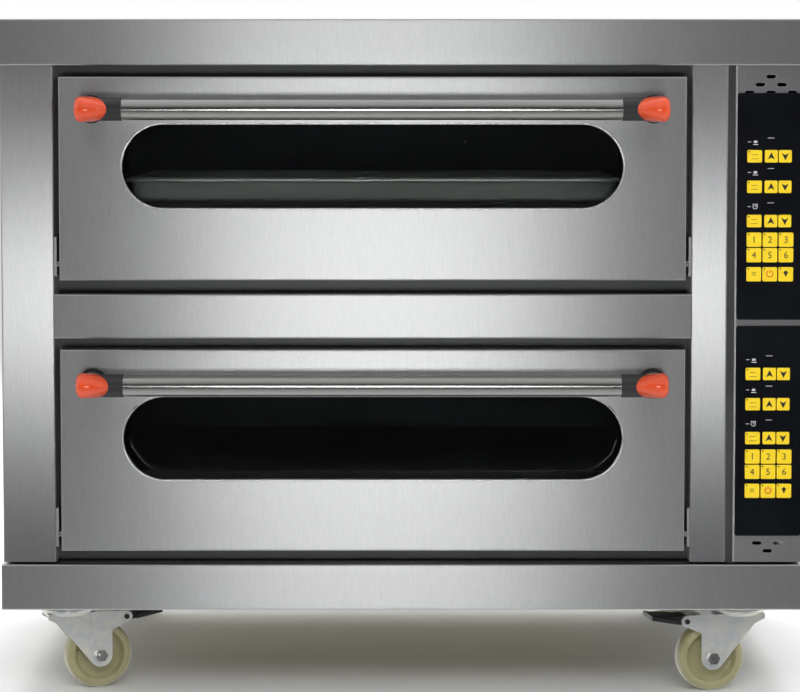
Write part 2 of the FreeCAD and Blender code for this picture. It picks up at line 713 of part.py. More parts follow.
def make_elements():
    """Three hairpins under each stone and three under each chamber's ceiling."""
    hairpins = []
    for deck_name, deck in DECKS:
        for rise in ("element_gap", "chamber_height - element_gap"):
            for step in (-1, 0, 1):
                hairpins.append(hairpin(f"door_middle + {step} * element_spacing",
                                        deck_z(deck, f"chamber_rise + {rise}")))
    piece("heating_elements", group("heating_elements", hairpins))


def make_lamps_and_probes():
    lamps = []
    probes = []
    for deck_name, deck in DECKS:
        wall = "door_middle + chamber_width / 2"
        at = (wall, "chamber_y + lamp_depth", deck_z(deck, "chamber_rise + lamp_rise"))
        ring = cylinder("lamp_ring", "lamp_flange", "lamp_ring", at, "-x")
        glass = cylinder("lamp_dome", "lamp_radius", "lamp_glass", at, "-x")
        lamps.append(fuse(deck_name + "_lamp", [lamp_tool(deck, "0"), ring, glass]))
        probes.append(probe_tool(deck, "0", "probe_length"))
    piece("chamber_lamps", group("chamber_lamps", lamps))
    piece("temperature_probes", group("temperature_probes", probes))


def rounded_block(name, size, corner, foot, at):
    """A block with round upright corners and a round lower edge."""
    body = body_named(name, at)
    outline = sketch(body, "XY_Plane")
    rectangle(outline, ("0", "0"), size[:2])
    raised = pad(body, outline, size[2])
    tall = number(size[2])
    corners = round_edges(body, raised, corner, lambda edge: abs(edge.BoundBox.ZLength - tall) < 0.01)
    if foot:
        round_edges(body, corners, foot, lambda edge: lies_in(edge, "Z", 0))
    return body


def make_tray():
    """A drawn tray with a rolled rim, standing on the upper stone."""
    rim = "tray_rim"
    steel = "tray_sheet"
    low_x = "door_middle - tray_length / 2"
    low_y = "chamber_y + tray_setback"
    low_z = deck_z(1, "floor_rise")
    outside = rounded_block("tray_outside",
                            (f"tray_length - 2 * {rim}", f"tray_width - 2 * {rim}", "tray_height"),
                            f"tray_corner - {rim}", "tray_foot", (f"{low_x} + {rim}", f"{low_y} + {rim}", low_z))
    inside = rounded_block("tray_inside",
                           (f"tray_length - 2 * {rim} - 2 * {steel}",
                            f"tray_width - 2 * {rim} - 2 * {steel}", "tray_height"),
                           f"tray_corner - {rim} - {steel}", f"tray_foot - {steel}",
                           (f"{low_x} + {rim} + {steel}", f"{low_y} + {rim} + {steel}", f"{low_z} + {steel}"))
    lip = rounded_block("tray_lip", ("tray_length", "tray_width", f"{rim} + {steel}"), "tray_corner", None,
                        (low_x, low_y, f"{low_z} + tray_height - {rim} - {steel}"))
    drawn = fuse("tray_blank", [outside, lip])
    piece("baking_tray", cut("baking_tray", drawn, [inside]))


# ---------------------------------------------------------------- doors ----
def make_door_skin(prefix, deck):
    body = body_named(prefix + "door_skin", ("door_x", "door_y", deck_z(deck, "0")))
    face = sketch(body, "XZ_Plane")
    rectangle(face, ("0", "0"), ("door_width", "door_height"))
    raised = pad(body, face, "door_skin_depth", reverse=True)
    round_edges(body, raised, "bend_radius", lambda edge: lies_in(edge, "Y", 0))
    hollow = sketch(body, "XZ_Plane", "-sheet_steel")
    rectangle(hollow, ("sheet_steel", "sheet_steel"), ("door_width - sheet_steel", "door_height - sheet_steel"))
    pocket(body, hollow)
    window = sketch(body, "XZ_Plane")
    stadium(window, ("door_width / 2", "door_height - window_drop"), "window_length", "window_height")
    pocket(body, window)
    bores = sketch(body, "YZ_Plane")
    circle(bores, ("pin_depth", "pin_height"), "pin_radius + running_fit")
    pocket(body, bores, reverse=True)
    piece(body.Name, body)


def make_door_inner(prefix, deck):
    body = body_named(prefix + "door_inner_panel", ("door_x", "door_y + door_skin_depth", deck_z(deck, "0")))
    face = sketch(body, "XZ_Plane")
    rectangle(face, ("0", "0"), ("door_width", "door_height"))
    raised = pad(body, face, "door_inner_depth", reverse=True)
    back = number("door_inner_depth")
    round_edges(body, raised, "bend_radius", lambda edge: lies_in(edge, "Y", back))
    hollow = sketch(body, "XZ_Plane")
    rectangle(hollow, ("sheet_steel", "sheet_steel"), ("door_width - sheet_steel", "door_height - sheet_steel"))
    pocket(body, hollow, "door_inner_depth - sheet_steel")
    window = sketch(body, "XZ_Plane")
    half = "window_length / 2 + window_ledge"
    rise = "window_height / 2 + window_ledge"
    middle = "door_height - window_drop"
    rectangle(window, (f"door_width / 2 - ({half})", f"{middle} - ({rise})"),
              (f"door_width / 2 + {half}", f"{middle} + {rise}"))
    pocket(body, window)
    piece(body.Name, body)


def window_block(name, deck, grow, thick, low_y):
    """A block centred on a door's window and larger than it by the same margin all round."""
    return box(name, (f"window_length + 2 * {grow}", thick, f"window_height + 2 * {grow}"),
               (f"door_middle - window_length / 2 - {grow}", low_y,
                deck_z(deck, f"door_height - window_drop - window_height / 2 - {grow}")))


def make_door_filling(prefix, deck):
    first = "door_y + sheet_steel"
    second = "door_y + door_depth - sheet_steel - pane_thickness"
    panes = [window_block(prefix + "pane", deck, "pane_margin", "pane_thickness", low_y)
             for low_y in (first, second)]
    piece(prefix + "door_glass", group(prefix + "door_glass", panes))
    low = "sheet_steel + pin_height + pin_head_radius"
    deep = "door_depth - 2 * sheet_steel - 2 * pane_thickness"
    blank = box(prefix + "wool_blank",
                ("door_width - 2 * sheet_steel - 2 * rest_gap", deep,
                 f"door_height - sheet_steel - rest_gap - ({low})"),
                ("door_x + sheet_steel + rest_gap", f"{first} + pane_thickness", deck_z(deck, low)))
    opening = window_block(prefix + "wool_window", deck, "window_ledge", deep, f"{first} + pane_thickness")
    piece(prefix + "door_insulation", cut(prefix + "door_insulation", blank, [opening]))


def make_seal(prefix, deck):
    def ring(part, grow):
        return box(prefix + part, (f"chamber_width + 2 * ({grow})", "seal_thickness", f"mouth_height + 2 * ({grow})"),
                   (f"door_middle - chamber_width / 2 - ({grow})", "door_y + door_depth",
                    deck_z(deck, f"mouth_rise - ({grow})")))
    outside = ring("seal_outside", "seal_margin + seal_width")
    piece(prefix + "door_seal", cut(prefix + "door_seal", outside, [ring("seal_inside", "seal_margin")]))


def make_hinge_pins(prefix, deck):
    """A headed pin in each side of the door; its end runs in the bracket on the post."""
    pins = []
    height = deck_z(deck, "pin_height")
    reach = "sheet_steel + door_side_gap - rest_gap"
    for side, along, outward in ((-1, "-x", "x"), (1, "x", "-x")):
        face = f"door_middle + {side} * (door_width / 2 - sheet_steel)"
        shank = cylinder("pin_shank", "pin_radius", reach, (face, "pin_y", height), along)
        head = cylinder("pin_head", "pin_head_radius", "pin_head", (face, "pin_y", height), outward)
        pins.append(fuse("pin", [shank, head]))
    piece(prefix + "hinge_pins", group(prefix + "hinge_pins", pins))


def make_hinge_brackets():
    brackets = []
    for deck_name, deck in DECKS:
        for low_x in ("opening_x", "right_post_x - bracket_sheet"):
            low_y = "front_y + bracket_sheet"
            blank = box("bracket_blank", ("bracket_sheet", f"plate_y - ({low_y})", "bracket_height"),
                        (low_x, low_y, deck_z(deck, "pin_height - pin_height * 3 / 4")))
            bore = cylinder("bracket_bore", "pin_radius + running_fit", "bracket_sheet",
                            (low_x, "pin_y", deck_z(deck, "pin_height")), "x")
            brackets.append(cut("bracket", blank, [bore]))
    piece("hinge_brackets", group("hinge_brackets", brackets))


def elbow(name, deck, side, grow):
    """The bent part of a handle bracket: out from the door, round the bend and along the tube."""
    height = deck_z(deck, "door_height - handle_drop")
    foot_x = f"door_middle + {side} * (handle_span / 2 + elbow_reach)"
    bend_x = f"door_middle + {side} * (handle_span / 2 + elbow_reach - elbow_bend)"
    axis_y = "door_y - handle_standoff"
    radius = f"sleeve_radius + {grow}"
    leg = cylinder(name + "_leg", radius, "handle_standoff - elbow_bend", (foot_x, "door_y", height), "-y")
    turn = bend(name + "_turn", "elbow_bend", radius, 90, 180 if side < 0 else -90,
                (bend_x, f"{axis_y} + elbow_bend", height))
    arm = cylinder(name + "_arm", radius, "elbow_reach - elbow_bend", (bend_x, axis_y, height),
                   "x" if side < 0 else "-x")
    return [leg, turn, arm]


def make_handle(prefix, deck):
    height = deck_z(deck, "door_height - handle_drop")
    axis_y = "door_y - handle_standoff"
    half = "handle_span / 2 + tube_entry"
    long_way = f"2 * ({half})"
    at = (f"door_middle - ({half})", axis_y, height)
    tube = cylinder(prefix + "tube_outside", "handle_radius", long_way, at, "x")
    hollow = cylinder(prefix + "tube_inside", "handle_radius - handle_wall", long_way, at, "x")
    piece(prefix + "handle_tube", cut(prefix + "handle_tube", tube, [hollow]))

    brackets = []
    caps = []
    for side in (-1, 1):
        name = prefix + ("left" if side < 0 else "right")
        foot_x = f"door_middle + {side} * (handle_span / 2 + elbow_reach)"
        foot = cylinder(name + "_foot", "foot_radius", "foot_height", (foot_x, "door_y", height), "-y")
        solid = fuse(name + "_elbow_solid", elbow(name + "_elbow", deck, side, "0") + [foot])
        socket = cylinder(name + "_socket", "handle_radius + running_fit", long_way, at, "x")
        brackets.append(cut(name + "_elbow", solid, [socket]))

        cover = fuse(name + "_cover", elbow(name + "_cover", deck, side, "cap_skin"))
        core = fuse(name + "_core", elbow(name + "_core", deck, side, "running_fit"))
        shell = cut(name + "_cap_shell", cover, [core])
        caps.append(cut(name + "_cap", shell, cap_trims(name, foot_x, height, side)))
    piece(prefix + "handle_brackets", group(prefix + "handle_brackets", brackets))
    piece(prefix + "handle_caps", group(prefix + "handle_caps", caps))


def cap_trims(name, foot_x, height, side):
    """What is cut away from a cap: all but an egg that ends in a tip along the tube."""
    room = "elbow_reach + handle_standoff"
    front = "door_y - handle_standoff - 2 * sleeve_radius"
    egg = doc.addObject("Part::Ellipse", name + "_egg")
    egg.Placement.Rotation = FreeCAD.Rotation(Vector(1, 0, 0), 90)
    bind(egg, "MajorRadius", "cap_reach")
    bind(egg, "MinorRadius", "cap_radius + running_fit")
    place(egg, (foot_x, front, height))
    keep = doc.addObject("Part::Extrusion", name + "_egg_prism")
    keep.Base = egg
    keep.DirMode = "Custom"
    keep.Dir = Vector(0, 1, 0)
    keep.Solid = True
    bind(keep, "LengthFwd", f"2 * sleeve_radius + {room}")
    tip_x = f"{foot_x}" if side < 0 else f"{foot_x} - ({room})"
    inner = box(name + "_inner_side", (room, f"2 * sleeve_radius + {room}", "4 * sleeve_radius"),
                (tip_x, front, f"{height} - 2 * sleeve_radius"))
    behind = box(name + "_behind", (f"2 * ({room})", room, "4 * sleeve_radius"),
                 (f"{foot_x} - ({room})", "door_y - handle_standoff + elbow_bend", f"{height} - 2 * sleeve_radius"))
    return [cut(name + "_waste", inner, [keep]), behind]


# ------------------------------------------------------------- controls ----
def make_bulkhead():
    """The wall of the control compartment; its front edge shows as a narrow strip."""
    steel = "sheet_steel"
    strip = box("bulkhead_strip", ("bulkhead_width", steel, "post_length"),
                ("bulkhead_x", f"front_y + {steel}", "post_z"))
    lip = box("bulkhead_lip", (steel, f"frame_y - front_y - {steel}", "post_length"),
              ("bulkhead_x", f"front_y + {steel}", "post_z"))
    wall = box("bulkhead_wall", (steel, f"back_y - {steel} - frame_y", f"body_height - frame_tube - {steel}"),
               ("bulkhead_x", "frame_y", "caster_height + frame_tube"))
    piece("control_bulkhead", fuse("control_bulkhead", [strip, lip, wall]))


def make_fascia():
    body = post("control_fascia", "fascia_width", "fascia_x")
    slots = sketch(body, "XZ_Plane")
    top = "post_length - vent_margin"
    places = [("0", top), ("-0.5", f"{top} - vent_pitch_up"), ("0.5", f"{top} - vent_pitch_up")]
    places += [(step, f"{top} - 2 * vent_pitch_up") for step in ("-1", "0", "1")]
    places += [("0", "vent_margin"), ("-0.5", "vent_margin + vent_pitch_up"), ("0.5", "vent_margin + vent_pitch_up")]
    for step, height in places:
        stadium(slots, (f"fascia_width / 2 + ({step}) * vent_pitch_across", height), "vent_length", "vent_height")
    pocket(body, slots, "2 * sheet_steel")
    piece("control_fascia", body)


KEYPADS = (
    ("lower", "membrane_z", "lower_membrane_height"),
    ("upper", "membrane_z + lower_membrane_height + membrane_gap", "upper_membrane_height"),
)


def make_keypads():
    membranes = [box(name + "_membrane", ("membrane_width", "membrane_sheet", height),
                     ("fascia_middle - membrane_width / 2", "front_y - membrane_sheet", low_z))
                 for name, low_z, height in KEYPADS]
    piece("keypad_membranes", group("keypad_membranes", membranes))


def key_layout():
    """Each key of one keypad: its centre's place across and up, its width and its height."""
    for row in ("0", "second_row", "third_row"):
        for column in (-1, 0, 1):
            yield f"{column} * key_pitch", row, "key_width", "key_height"
    for row in ("timer_row", "floor_heat_row", "top_heat_row"):
        yield "-key_pitch", row, "key_width", "small_key_height"
        for step in (0, 1):
            yield f"arrow_shift + {step} * arrow_pitch", row, "small_key_width", "small_key_height"


def make_keys():
    keys = []
    for name, low_z, height in KEYPADS:
        for across, up, wide, tall in key_layout():
            keys.append(box(name + "_key", (wide, "key_relief", tall),
                            (f"fascia_middle + {across} - {wide} / 2",
                             "front_y - membrane_sheet - key_relief",
                             f"{low_z} + key_block_rise + key_height / 2 + {up} - {tall} / 2")))
    piece("key_pads", group("key_pads", keys))


def make_electronics():
    boards = []
    for name, low_z, height in KEYPADS:
        board_y = "front_y + sheet_steel + board_standoff"
        board_z = f"{low_z} + ({height}) / 2 - board_height / 2"
        parts = [box(name + "_board", ("board_width", "board_thickness", "board_height"),
                     ("fascia_middle - board_width / 2", board_y, board_z))]
        for side in (-1, 1):
            for end in (0.1, 0.9):
                parts.append(cylinder("standoff", "screw_radius", "board_standoff",
                                      (f"fascia_middle + {side} * board_width * 0.4", "front_y + sheet_steel",
                                       f"{board_z} + {end} * board_height"), "y"))
        boards.append(fuse(name + "_control_board", parts))
    rail_at = ("bulkhead_x + sheet_steel", "plate_y + rail_setback", "caster_height + rail_rise")
    bar = box("mounting_rail", ("rail_depth", "4 * contactor_pitch", "rail_height"), rail_at)
    units = [box("contactor", ("contactor_depth", "contactor_width", "contactor_height"),
                 (f"{rail_at[0]} + rail_depth", f"{rail_at[1]} + ({step} + 0.5) * contactor_pitch",
                  f"{rail_at[2]} + rail_height / 2 - contactor_height / 2"))
             for step in range(3)]
    piece("control_electronics", group("control_electronics", boards + [bar] + units))


# -------------------------------------------------------------- casters ----
CASTERS = (
    ("front_left", "-swivel_x", "front_swivel_y", "front_left_turn", True),
    ("front_right", "swivel_x", "front_swivel_y", "front_right_turn", True),
    ("rear_left", "-swivel_x", "back_swivel_y", "rear_left_turn", False),
    ("rear_right", "swivel_x", "back_swivel_y", "rear_right_turn", False),
)


def make_caster_plates():
    """Each plate carries the fixed race and the king pin that the fork hangs on."""
    plates = []
    low_z = "caster_height - plate_thickness"
    pin_low = "fork_crown_height - rest_gap"
    for name, x, y, turn, braked in CASTERS:
        plate = box(name + "_plate_blank", ("plate_length", "plate_width", "plate_thickness"),
                    (f"{x} - plate_length / 2", f"{y} - plate_width / 2", low_z))
        race = cylinder(name + "_race", "race_radius", "race_height", (x, y, f"{low_z} - race_height"))
        king_pin = cylinder(name + "_king_pin", "king_pin_radius", f"{low_z} - ({pin_low})", (x, y, pin_low))
        head = cylinder(name + "_king_head", "king_head_radius", "king_head", (x, y, f"{pin_low} - king_head"))
        holes = [cylinder(name + "_plate_hole", "plate_hole_radius", "plate_thickness",
                          (f"{x} + {across} * plate_hole_length / 2",
                           f"{y} + {along} * plate_hole_width / 2", low_z))
                 for across in (-1, 1) for along in (-1, 1)]
        solid = fuse(name + "_plate_solid", [plate, race, king_pin, head])
        plates.append(cut(name + "_plate", solid, holes))
    piece("caster_plates", group("caster_plates", plates))


def leg_outline(braked):
    """One leg of the fork, seen from its side, with its round nose left out."""
    points = [("-fork_back", "crown_top"), ("-fork_back", "fork_crown_height - fork_back_drop"),
              ("-fork_knee", "fork_knee_height"),
              ("trail - 0.77 * fork_nose", "wheel_radius - 0.64 * fork_nose"),
              ("trail + fork_nose", "wheel_radius")]
    if braked:
        points += [("trail + fork_nose", "fork_armpit"), ("lug_x", "lug_height - lug_radius"),
                   ("lug_x", "lug_height + lug_radius")]
    return points + [("trail + fork_nose", "crown_top")]


def make_fork(name, x, y, turn, braked):
    body = body_named(name + "_fork", (x, y, "0"), turn)
    crown = sketch(body, "XY_Plane", "fork_crown_height")
    rectangle(crown, ("-fork_back", "-leg_out"), ("trail + fork_nose", "leg_out"))
    pad(body, crown, "fork_sheet")
    dish = sketch(body, "XZ_Plane")
    polygon(dish, [("0", "fork_crown_height"), ("fork_neck_radius", "fork_crown_height"),
                   ("fork_dish_radius", "dish_top - fork_sheet"), ("fork_dish_radius", "dish_top"),
                   ("0", "dish_top")])
    revolve(body, dish)
    for low_y in ("-leg_out", "fork_gap / 2"):
        leg = sketch(body, "XZ_Plane", f"-({low_y})")
        polygon(leg, leg_outline(braked))
        flank = pad(body, leg, "fork_sheet", reverse=True)
        ends = [(("trail", "wheel_radius"), "fork_nose")]
        if braked:
            ends.append((("lug_x", "lug_height"), "lug_radius"))
        for centre, radius in ends:
            end = sketch(body, "XZ_Plane", f"-({low_y})")
            circle(end, centre, radius)
            flank = pad(body, end, "fork_sheet", reverse=True)
    king = sketch(body, "XY_Plane")
    circle(king, ("0", "0"), "king_pin_radius + running_fit")
    pocket(body, king, reverse=True)
    bores = sketch(body, "XZ_Plane")
    circle(bores, ("trail", "wheel_radius"), "axle_radius + running_fit")
    if braked:
        circle(bores, ("lug_x", "lug_height"), "brake_pin_radius + running_fit")
    pocket(body, bores, both=True)
    groove = sketch(body, "XZ_Plane", "leg_out")
    rectangle(groove, ("fork_groove_place", "wheel_radius + fork_nose / 2"),
              ("fork_groove_place + fork_groove", "fork_crown_height"))
    pocket(body, groove, "fork_groove_depth")
    piece(body.Name, body)


def make_axle(name, x, y, turn, braked):
    """The axle bolt, its nut and the spacer tube that the wheel runs on."""
    head = hexagon(name + "_bolt_head", "axle_head_radius", "axle_head", ("trail", "leg_out", "wheel_radius"), "y")
    reach = "2 * leg_out + axle_head + axle_tail"
    shank = cylinder(name + "_bolt_shank", "axle_radius", reach, ("trail", "leg_out", "wheel_radius"), "-y")
    bolt = fuse(name + "_bolt", [head, shank])
    drill = cylinder(name + "_drill", "axle_radius + running_fit", reach,
                     ("trail", "leg_out", "wheel_radius"), "-y")
    blank = hexagon(name + "_nut_blank", "axle_head_radius", "axle_head", ("trail", "-leg_out", "wheel_radius"), "-y")
    nut = cut(name + "_nut", blank, [drill])
    tube = cylinder(name + "_spacer_blank", "sleeve_axle_radius", "fork_gap",
                    ("trail", "fork_gap / 2", "wheel_radius"), "-y")
    spacer = cut(name + "_spacer", tube, [drill])
    piece(name + "_axle", place(group(name + "_axle", [bolt, nut, spacer]), (x, y, "0"), turn))


def make_wheel(name, x, y, turn, braked):
    body = body_named(name + "_wheel", (f"{x} + trail * cos({turn})", f"{y} + trail * sin({turn})",
                                        "wheel_radius"), turn)
    half = sketch(body, "XY_Plane")
    side = [("sleeve_axle_radius + running_fit", "hub_width / 2"), ("hub_radius", "hub_width / 2"),
            ("hub_radius + wheel_draft", "wheel_width / 2 - wheel_recess"),
            ("wheel_recess_radius - wheel_draft", "wheel_width / 2 - wheel_recess"),
            ("wheel_recess_radius", "wheel_width / 2"), ("wheel_radius", "wheel_width / 2")]
    polygon(half, side + [(radius, f"-({place_y})") for radius, place_y in reversed(side)])
    turned = revolve(body, half)
    rim = number("wheel_radius")
    round_edges(body, turned, "wheel_shoulder",
                lambda edge: hasattr(edge.Curve, "Radius") and abs(edge.Curve.Radius - rim) < 0.01)
    piece(body.Name, body)


def make_pedal(name, x, y, turn):
    """A brake pedal that rocks on its own pin in the fork's lugs."""
    body = body_named(name + "_brake_pedal", (x, y, "0"), turn)
    tip_x = "lug_x + pedal_reach"
    tip_z = "lug_height + pedal_rise"
    neck_z = "lug_height + pedal_rise * pedal_neck / pedal_reach"

    def across(outline, half_width):
        return pad(body, outline, f"2 * ({half_width})", reverse=True)

    inner = "fork_gap / 2 - rest_gap"
    arm = sketch(body, "XZ_Plane", inner)
    polygon(arm, [("lug_x", "lug_height - pedal_boss"), (tip_x, f"{tip_z} - pedal_thickness"),
                  (tip_x, tip_z), ("lug_x", "lug_height + pedal_boss")])
    across(arm, inner)
    boss = sketch(body, "XZ_Plane", inner)
    circle(boss, ("lug_x", "lug_height"), "pedal_boss")
    across(boss, inner)
    tread = sketch(body, "XZ_Plane", "pedal_width / 2")
    polygon(tread, [("lug_x + pedal_neck", f"{neck_z} - pedal_thickness"), (tip_x, f"{tip_z} - pedal_thickness"),
                    (tip_x, tip_z), ("lug_x + pedal_neck", neck_z)])
    across(tread, "pedal_width / 2")
    pin = sketch(body, "XZ_Plane", "leg_out + brake_pin_end")
    circle(pin, ("lug_x", "lug_height"), "brake_pin_radius")
    across(pin, "leg_out + brake_pin_end")
    piece(body.Name, body)


# ------------------------------------------------------------- assembly ----
make_front()
make_front_plate()
make_base_frame()
make_panels()
make_back_panel()
make_screws()
make_cable_gland()
for deck_name, deck in DECKS:
    make_chamber(deck_name + "_chamber", deck)
make_elements()
make_insulation()
make_hearths()
make_lamps_and_probes()
make_tray()
for deck_name, deck in DECKS:
    prefix = deck_name + "_"
    make_door_skin(prefix, deck)
    make_door_inner(prefix, deck)
    make_door_filling(prefix, deck)
    make_seal(prefix, deck)
    make_hinge_pins(prefix, deck)
    make_handle(prefix, deck)
make_hinge_brackets()
make_bulkhead()
make_fascia()
make_keypads()
make_keys()
make_electronics()
make_caster_plates()
for caster in CASTERS:
    make_fork(*caster)
    make_axle(*caster)
    make_wheel(*caster)
    if caster[4]:
        make_pedal(*caster[:4])

doc.recompute()
for item in doc.Objects:
    if "Invalid" in item.State or "Error" in item.State:
        raise RuntimeError(f"{item.Name} failed: {item.State}")
os.makedirs("parts", exist_ok=True)
for item in PIECES:
    if item.Shape.isNull() or not item.Shape.isValid() or not item.Shape.Solids:
        raise RuntimeError(f"{item.Label} has no valid solid")
    item.Shape.exportStep(f"parts/{item.Label}.step")
    bounds = item.Shape.optimalBoundingBox(False)
    print(f"{item.Label:26} {len(item.Shape.Solids):3} solids  x {bounds.XMin:8.2f} {bounds.XMax:8.2f}"
          f"  y {bounds.YMin:8.2f} {bounds.YMax:8.2f}  z {bounds.ZMin:7.2f} {bounds.ZMax:7.2f}"
          f"  {item.Shape.Volume / 1000:9.2f} cm3")
print(len(PIECES), "nodes")
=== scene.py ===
# %% [markdown]
# # A two-deck bakery oven
#
# The oven's frame comes from its engineering model: folded steel rails and posts, two glazed doors that drop
# open, a column of membrane keys and four swivel casters. This lesson loads that frame, gives every part a
# finish, and models the pieces that need a softer or finer shape than a machined solid: the wheels, the
# caps of the handles, the keypads, the tray and the windows' edges.
#
# Lengths are in metres. +X is to the right, +Y to the back and +Z up.

# %% Load the frame
import json
import math

import bmesh
import bpy
from mathutils import Matrix, Vector


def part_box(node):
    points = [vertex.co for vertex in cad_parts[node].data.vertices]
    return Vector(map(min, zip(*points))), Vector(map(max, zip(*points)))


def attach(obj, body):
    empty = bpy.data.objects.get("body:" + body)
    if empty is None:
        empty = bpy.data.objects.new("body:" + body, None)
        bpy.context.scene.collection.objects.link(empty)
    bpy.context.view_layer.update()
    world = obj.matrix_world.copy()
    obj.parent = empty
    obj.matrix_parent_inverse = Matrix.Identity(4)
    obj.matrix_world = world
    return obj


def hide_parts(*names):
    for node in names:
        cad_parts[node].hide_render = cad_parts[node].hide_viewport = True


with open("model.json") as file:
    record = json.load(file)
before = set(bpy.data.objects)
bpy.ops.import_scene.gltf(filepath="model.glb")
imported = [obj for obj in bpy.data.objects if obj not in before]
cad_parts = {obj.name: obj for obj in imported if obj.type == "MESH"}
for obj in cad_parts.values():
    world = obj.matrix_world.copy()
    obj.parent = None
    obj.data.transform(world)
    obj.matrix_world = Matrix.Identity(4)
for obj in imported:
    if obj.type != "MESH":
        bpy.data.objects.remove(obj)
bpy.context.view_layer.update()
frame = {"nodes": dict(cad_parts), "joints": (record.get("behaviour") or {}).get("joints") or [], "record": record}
nodes = frame["nodes"]
record = frame["record"]

# %% [markdown]
# Every place is read from the frame, so that the pieces follow if a size changes. A node's box gives its lowest
# and highest corner. A joint gives the axis that a wheel turns on.

# %% Measures of the frame
MM = 0.001


def middle(node):
    """The middle of a node's box."""
    low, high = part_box(node)
    return (low + high) / 2


def span(node):
    """A node's size along each axis."""
    low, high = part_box(node)
    return high - low


joints = {joint["name"]: joint for joint in frame["joints"]}
DECKS = ("lower", "upper")
CASTERS = ("front_left", "front_right", "rear_left", "rear_right")
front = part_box("left_post")[0].y
print("front of the posts", round(front, 4))

# %% [markdown]
# ## Finishes
#
# A finish is a small tree of nodes. A noise texture that is stretched along one axis becomes the grain of
# brushed steel; a soft, large one becomes the cloudiness of cast nylon. The same few steps come back in each
# finish, so they are written once: a texture on the object's own coordinates, a ramp that turns it into a colour
# or a roughness, and a bump that turns it into relief.

# %% Helpers for finishes
class Finish:
    """A material under construction: its tree, its shader and the texture coordinates it reads."""

    def __init__(self, name):
        self.material = bpy.data.materials.new(name)
        self.material.use_nodes = True
        self.tree = self.material.node_tree
        self.shader = self.tree.nodes["Principled BSDF"]
        self.coordinates = self.tree.nodes.new("ShaderNodeTexCoord").outputs["Object"]

    def add(self, kind, **settings):
        node = self.tree.nodes.new(kind)
        for key, value in settings.items():
            setattr(node, key, value)
        return node

    def join(self, source, target):
        self.tree.links.new(source, target)

    def set(self, **sockets):
        for name, value in sockets.items():
            self.shader.inputs[name.replace("_", " ")].default_value = value

    def noise(self, scale, detail=4.0, roughness=0.5, stretch=(1, 1, 1), distortion=0.0):
        """A noise texture; scale is in repeats per metre before the stretch."""
        mapping = self.add("ShaderNodeMapping")
        mapping.inputs["Scale"].default_value = stretch
        self.join(self.coordinates, mapping.inputs["Vector"])
        node = self.add("ShaderNodeTexNoise")
        node.inputs["Scale"].default_value = scale
        node.inputs["Detail"].default_value = detail
        node.inputs["Roughness"].default_value = roughness
        node.inputs["Distortion"].default_value = distortion
        self.join(mapping.outputs["Vector"], node.inputs["Vector"])
        return node.outputs["Fac"]

    def ramp(self, source, low, high, start=0.3, end=0.7):
        """Colours between two ends of a source."""
        node = self.add("ShaderNodeValToRGB")
        node.color_ramp.elements[0].position = start
        node.color_ramp.elements[1].position = end
        node.color_ramp.elements[0].color = (*low, 1)
        node.color_ramp.elements[1].color = (*high, 1)
        self.join(source, node.inputs["Fac"])
        return node.outputs["Color"]

    def range(self, source, low, high):
        """A number that runs between two limits with the source."""
        node = self.add("ShaderNodeMapRange")
        node.inputs["To Min"].default_value = low
        node.inputs["To Max"].default_value = high
        self.join(source, node.inputs["Value"])
        return node.outputs["Result"]

    def relief(self, source, height, strength=1.0):
        """Bump of a height in metres."""
        node = self.add("ShaderNodeBump")
        node.inputs["Distance"].default_value = height
        node.inputs["Strength"].default_value = strength
        self.join(source, node.inputs["Height"])
        if self.shader.inputs["Normal"].is_linked:
            self.join(self.shader.inputs["Normal"].links[0].from_socket, node.inputs["Normal"])
        self.join(node.outputs["Normal"], self.shader.inputs["Normal"])

    def colour(self, source):
        self.join(source, self.shader.inputs["Base Color"])

    def roughness(self, source):
        self.join(source, self.shader.inputs["Roughness"])


# %% [markdown]
# Brushed sheet is a metal whose grain all runs one way. The belt leaves short fine scratches, so a light that the
# sheet mirrors is smeared across them into a long soft band. Anisotropy makes that band; a turn of a quarter
# circle sets it upright on the doors and rails, whose sheets were brushed along their length, and level on the
# posts. Noise drawn out along one axis gives the faint light and dark streaks, and broad, very low bumps keep
# the sheet from looking machined flat. A Bevel node rounds the normals of each cut edge by a millimetre, which
# gives the thin bright line that folded sheet has.

# %% Brushed steel
def brushed_steel(name, turn, low=(0.545, 0.55, 0.555), high=(0.64, 0.645, 0.65), rough=(0.30, 0.36),
                  smear=0.9, stretch=(900, 900, 70), wave=0.0003):
    finish = Finish(name)
    finish.set(Metallic=1.0, Anisotropic=smear, Anisotropic_Rotation=turn)
    grain = finish.noise(1.0, detail=3.0, roughness=0.7, stretch=stretch)
    finish.colour(finish.ramp(grain, low, high, 0.25, 0.75))
    finish.roughness(finish.range(grain, *rough))
    rounding = finish.add("ShaderNodeBevel", samples=4)
    rounding.inputs["Radius"].default_value = 0.0012
    finish.join(rounding.outputs["Normal"], finish.shader.inputs["Normal"])
    finish.relief(finish.noise(3.0, detail=2.0), wave, 0.5)
    tangent = finish.add("ShaderNodeTangent", direction_type="RADIAL", axis="Z")
    finish.join(tangent.outputs["Tangent"], finish.shader.inputs["Tangent"])
    return finish.material


QUARTER = 0.25
steel = brushed_steel("brushed steel, level grain", QUARTER)
post_steel = brushed_steel("brushed steel, upright grain", 0.0)
top_steel = brushed_steel("brushed steel, top", 0.0, smear=0.5, stretch=(70, 900, 900))
print("steel finishes ready")

# %% [markdown]
# Zinc plating is bright but not brushed: a mottled, slightly yellow skin with broad soft patches. Galvanised
# sheet is the same idea with larger crystals and less shine.

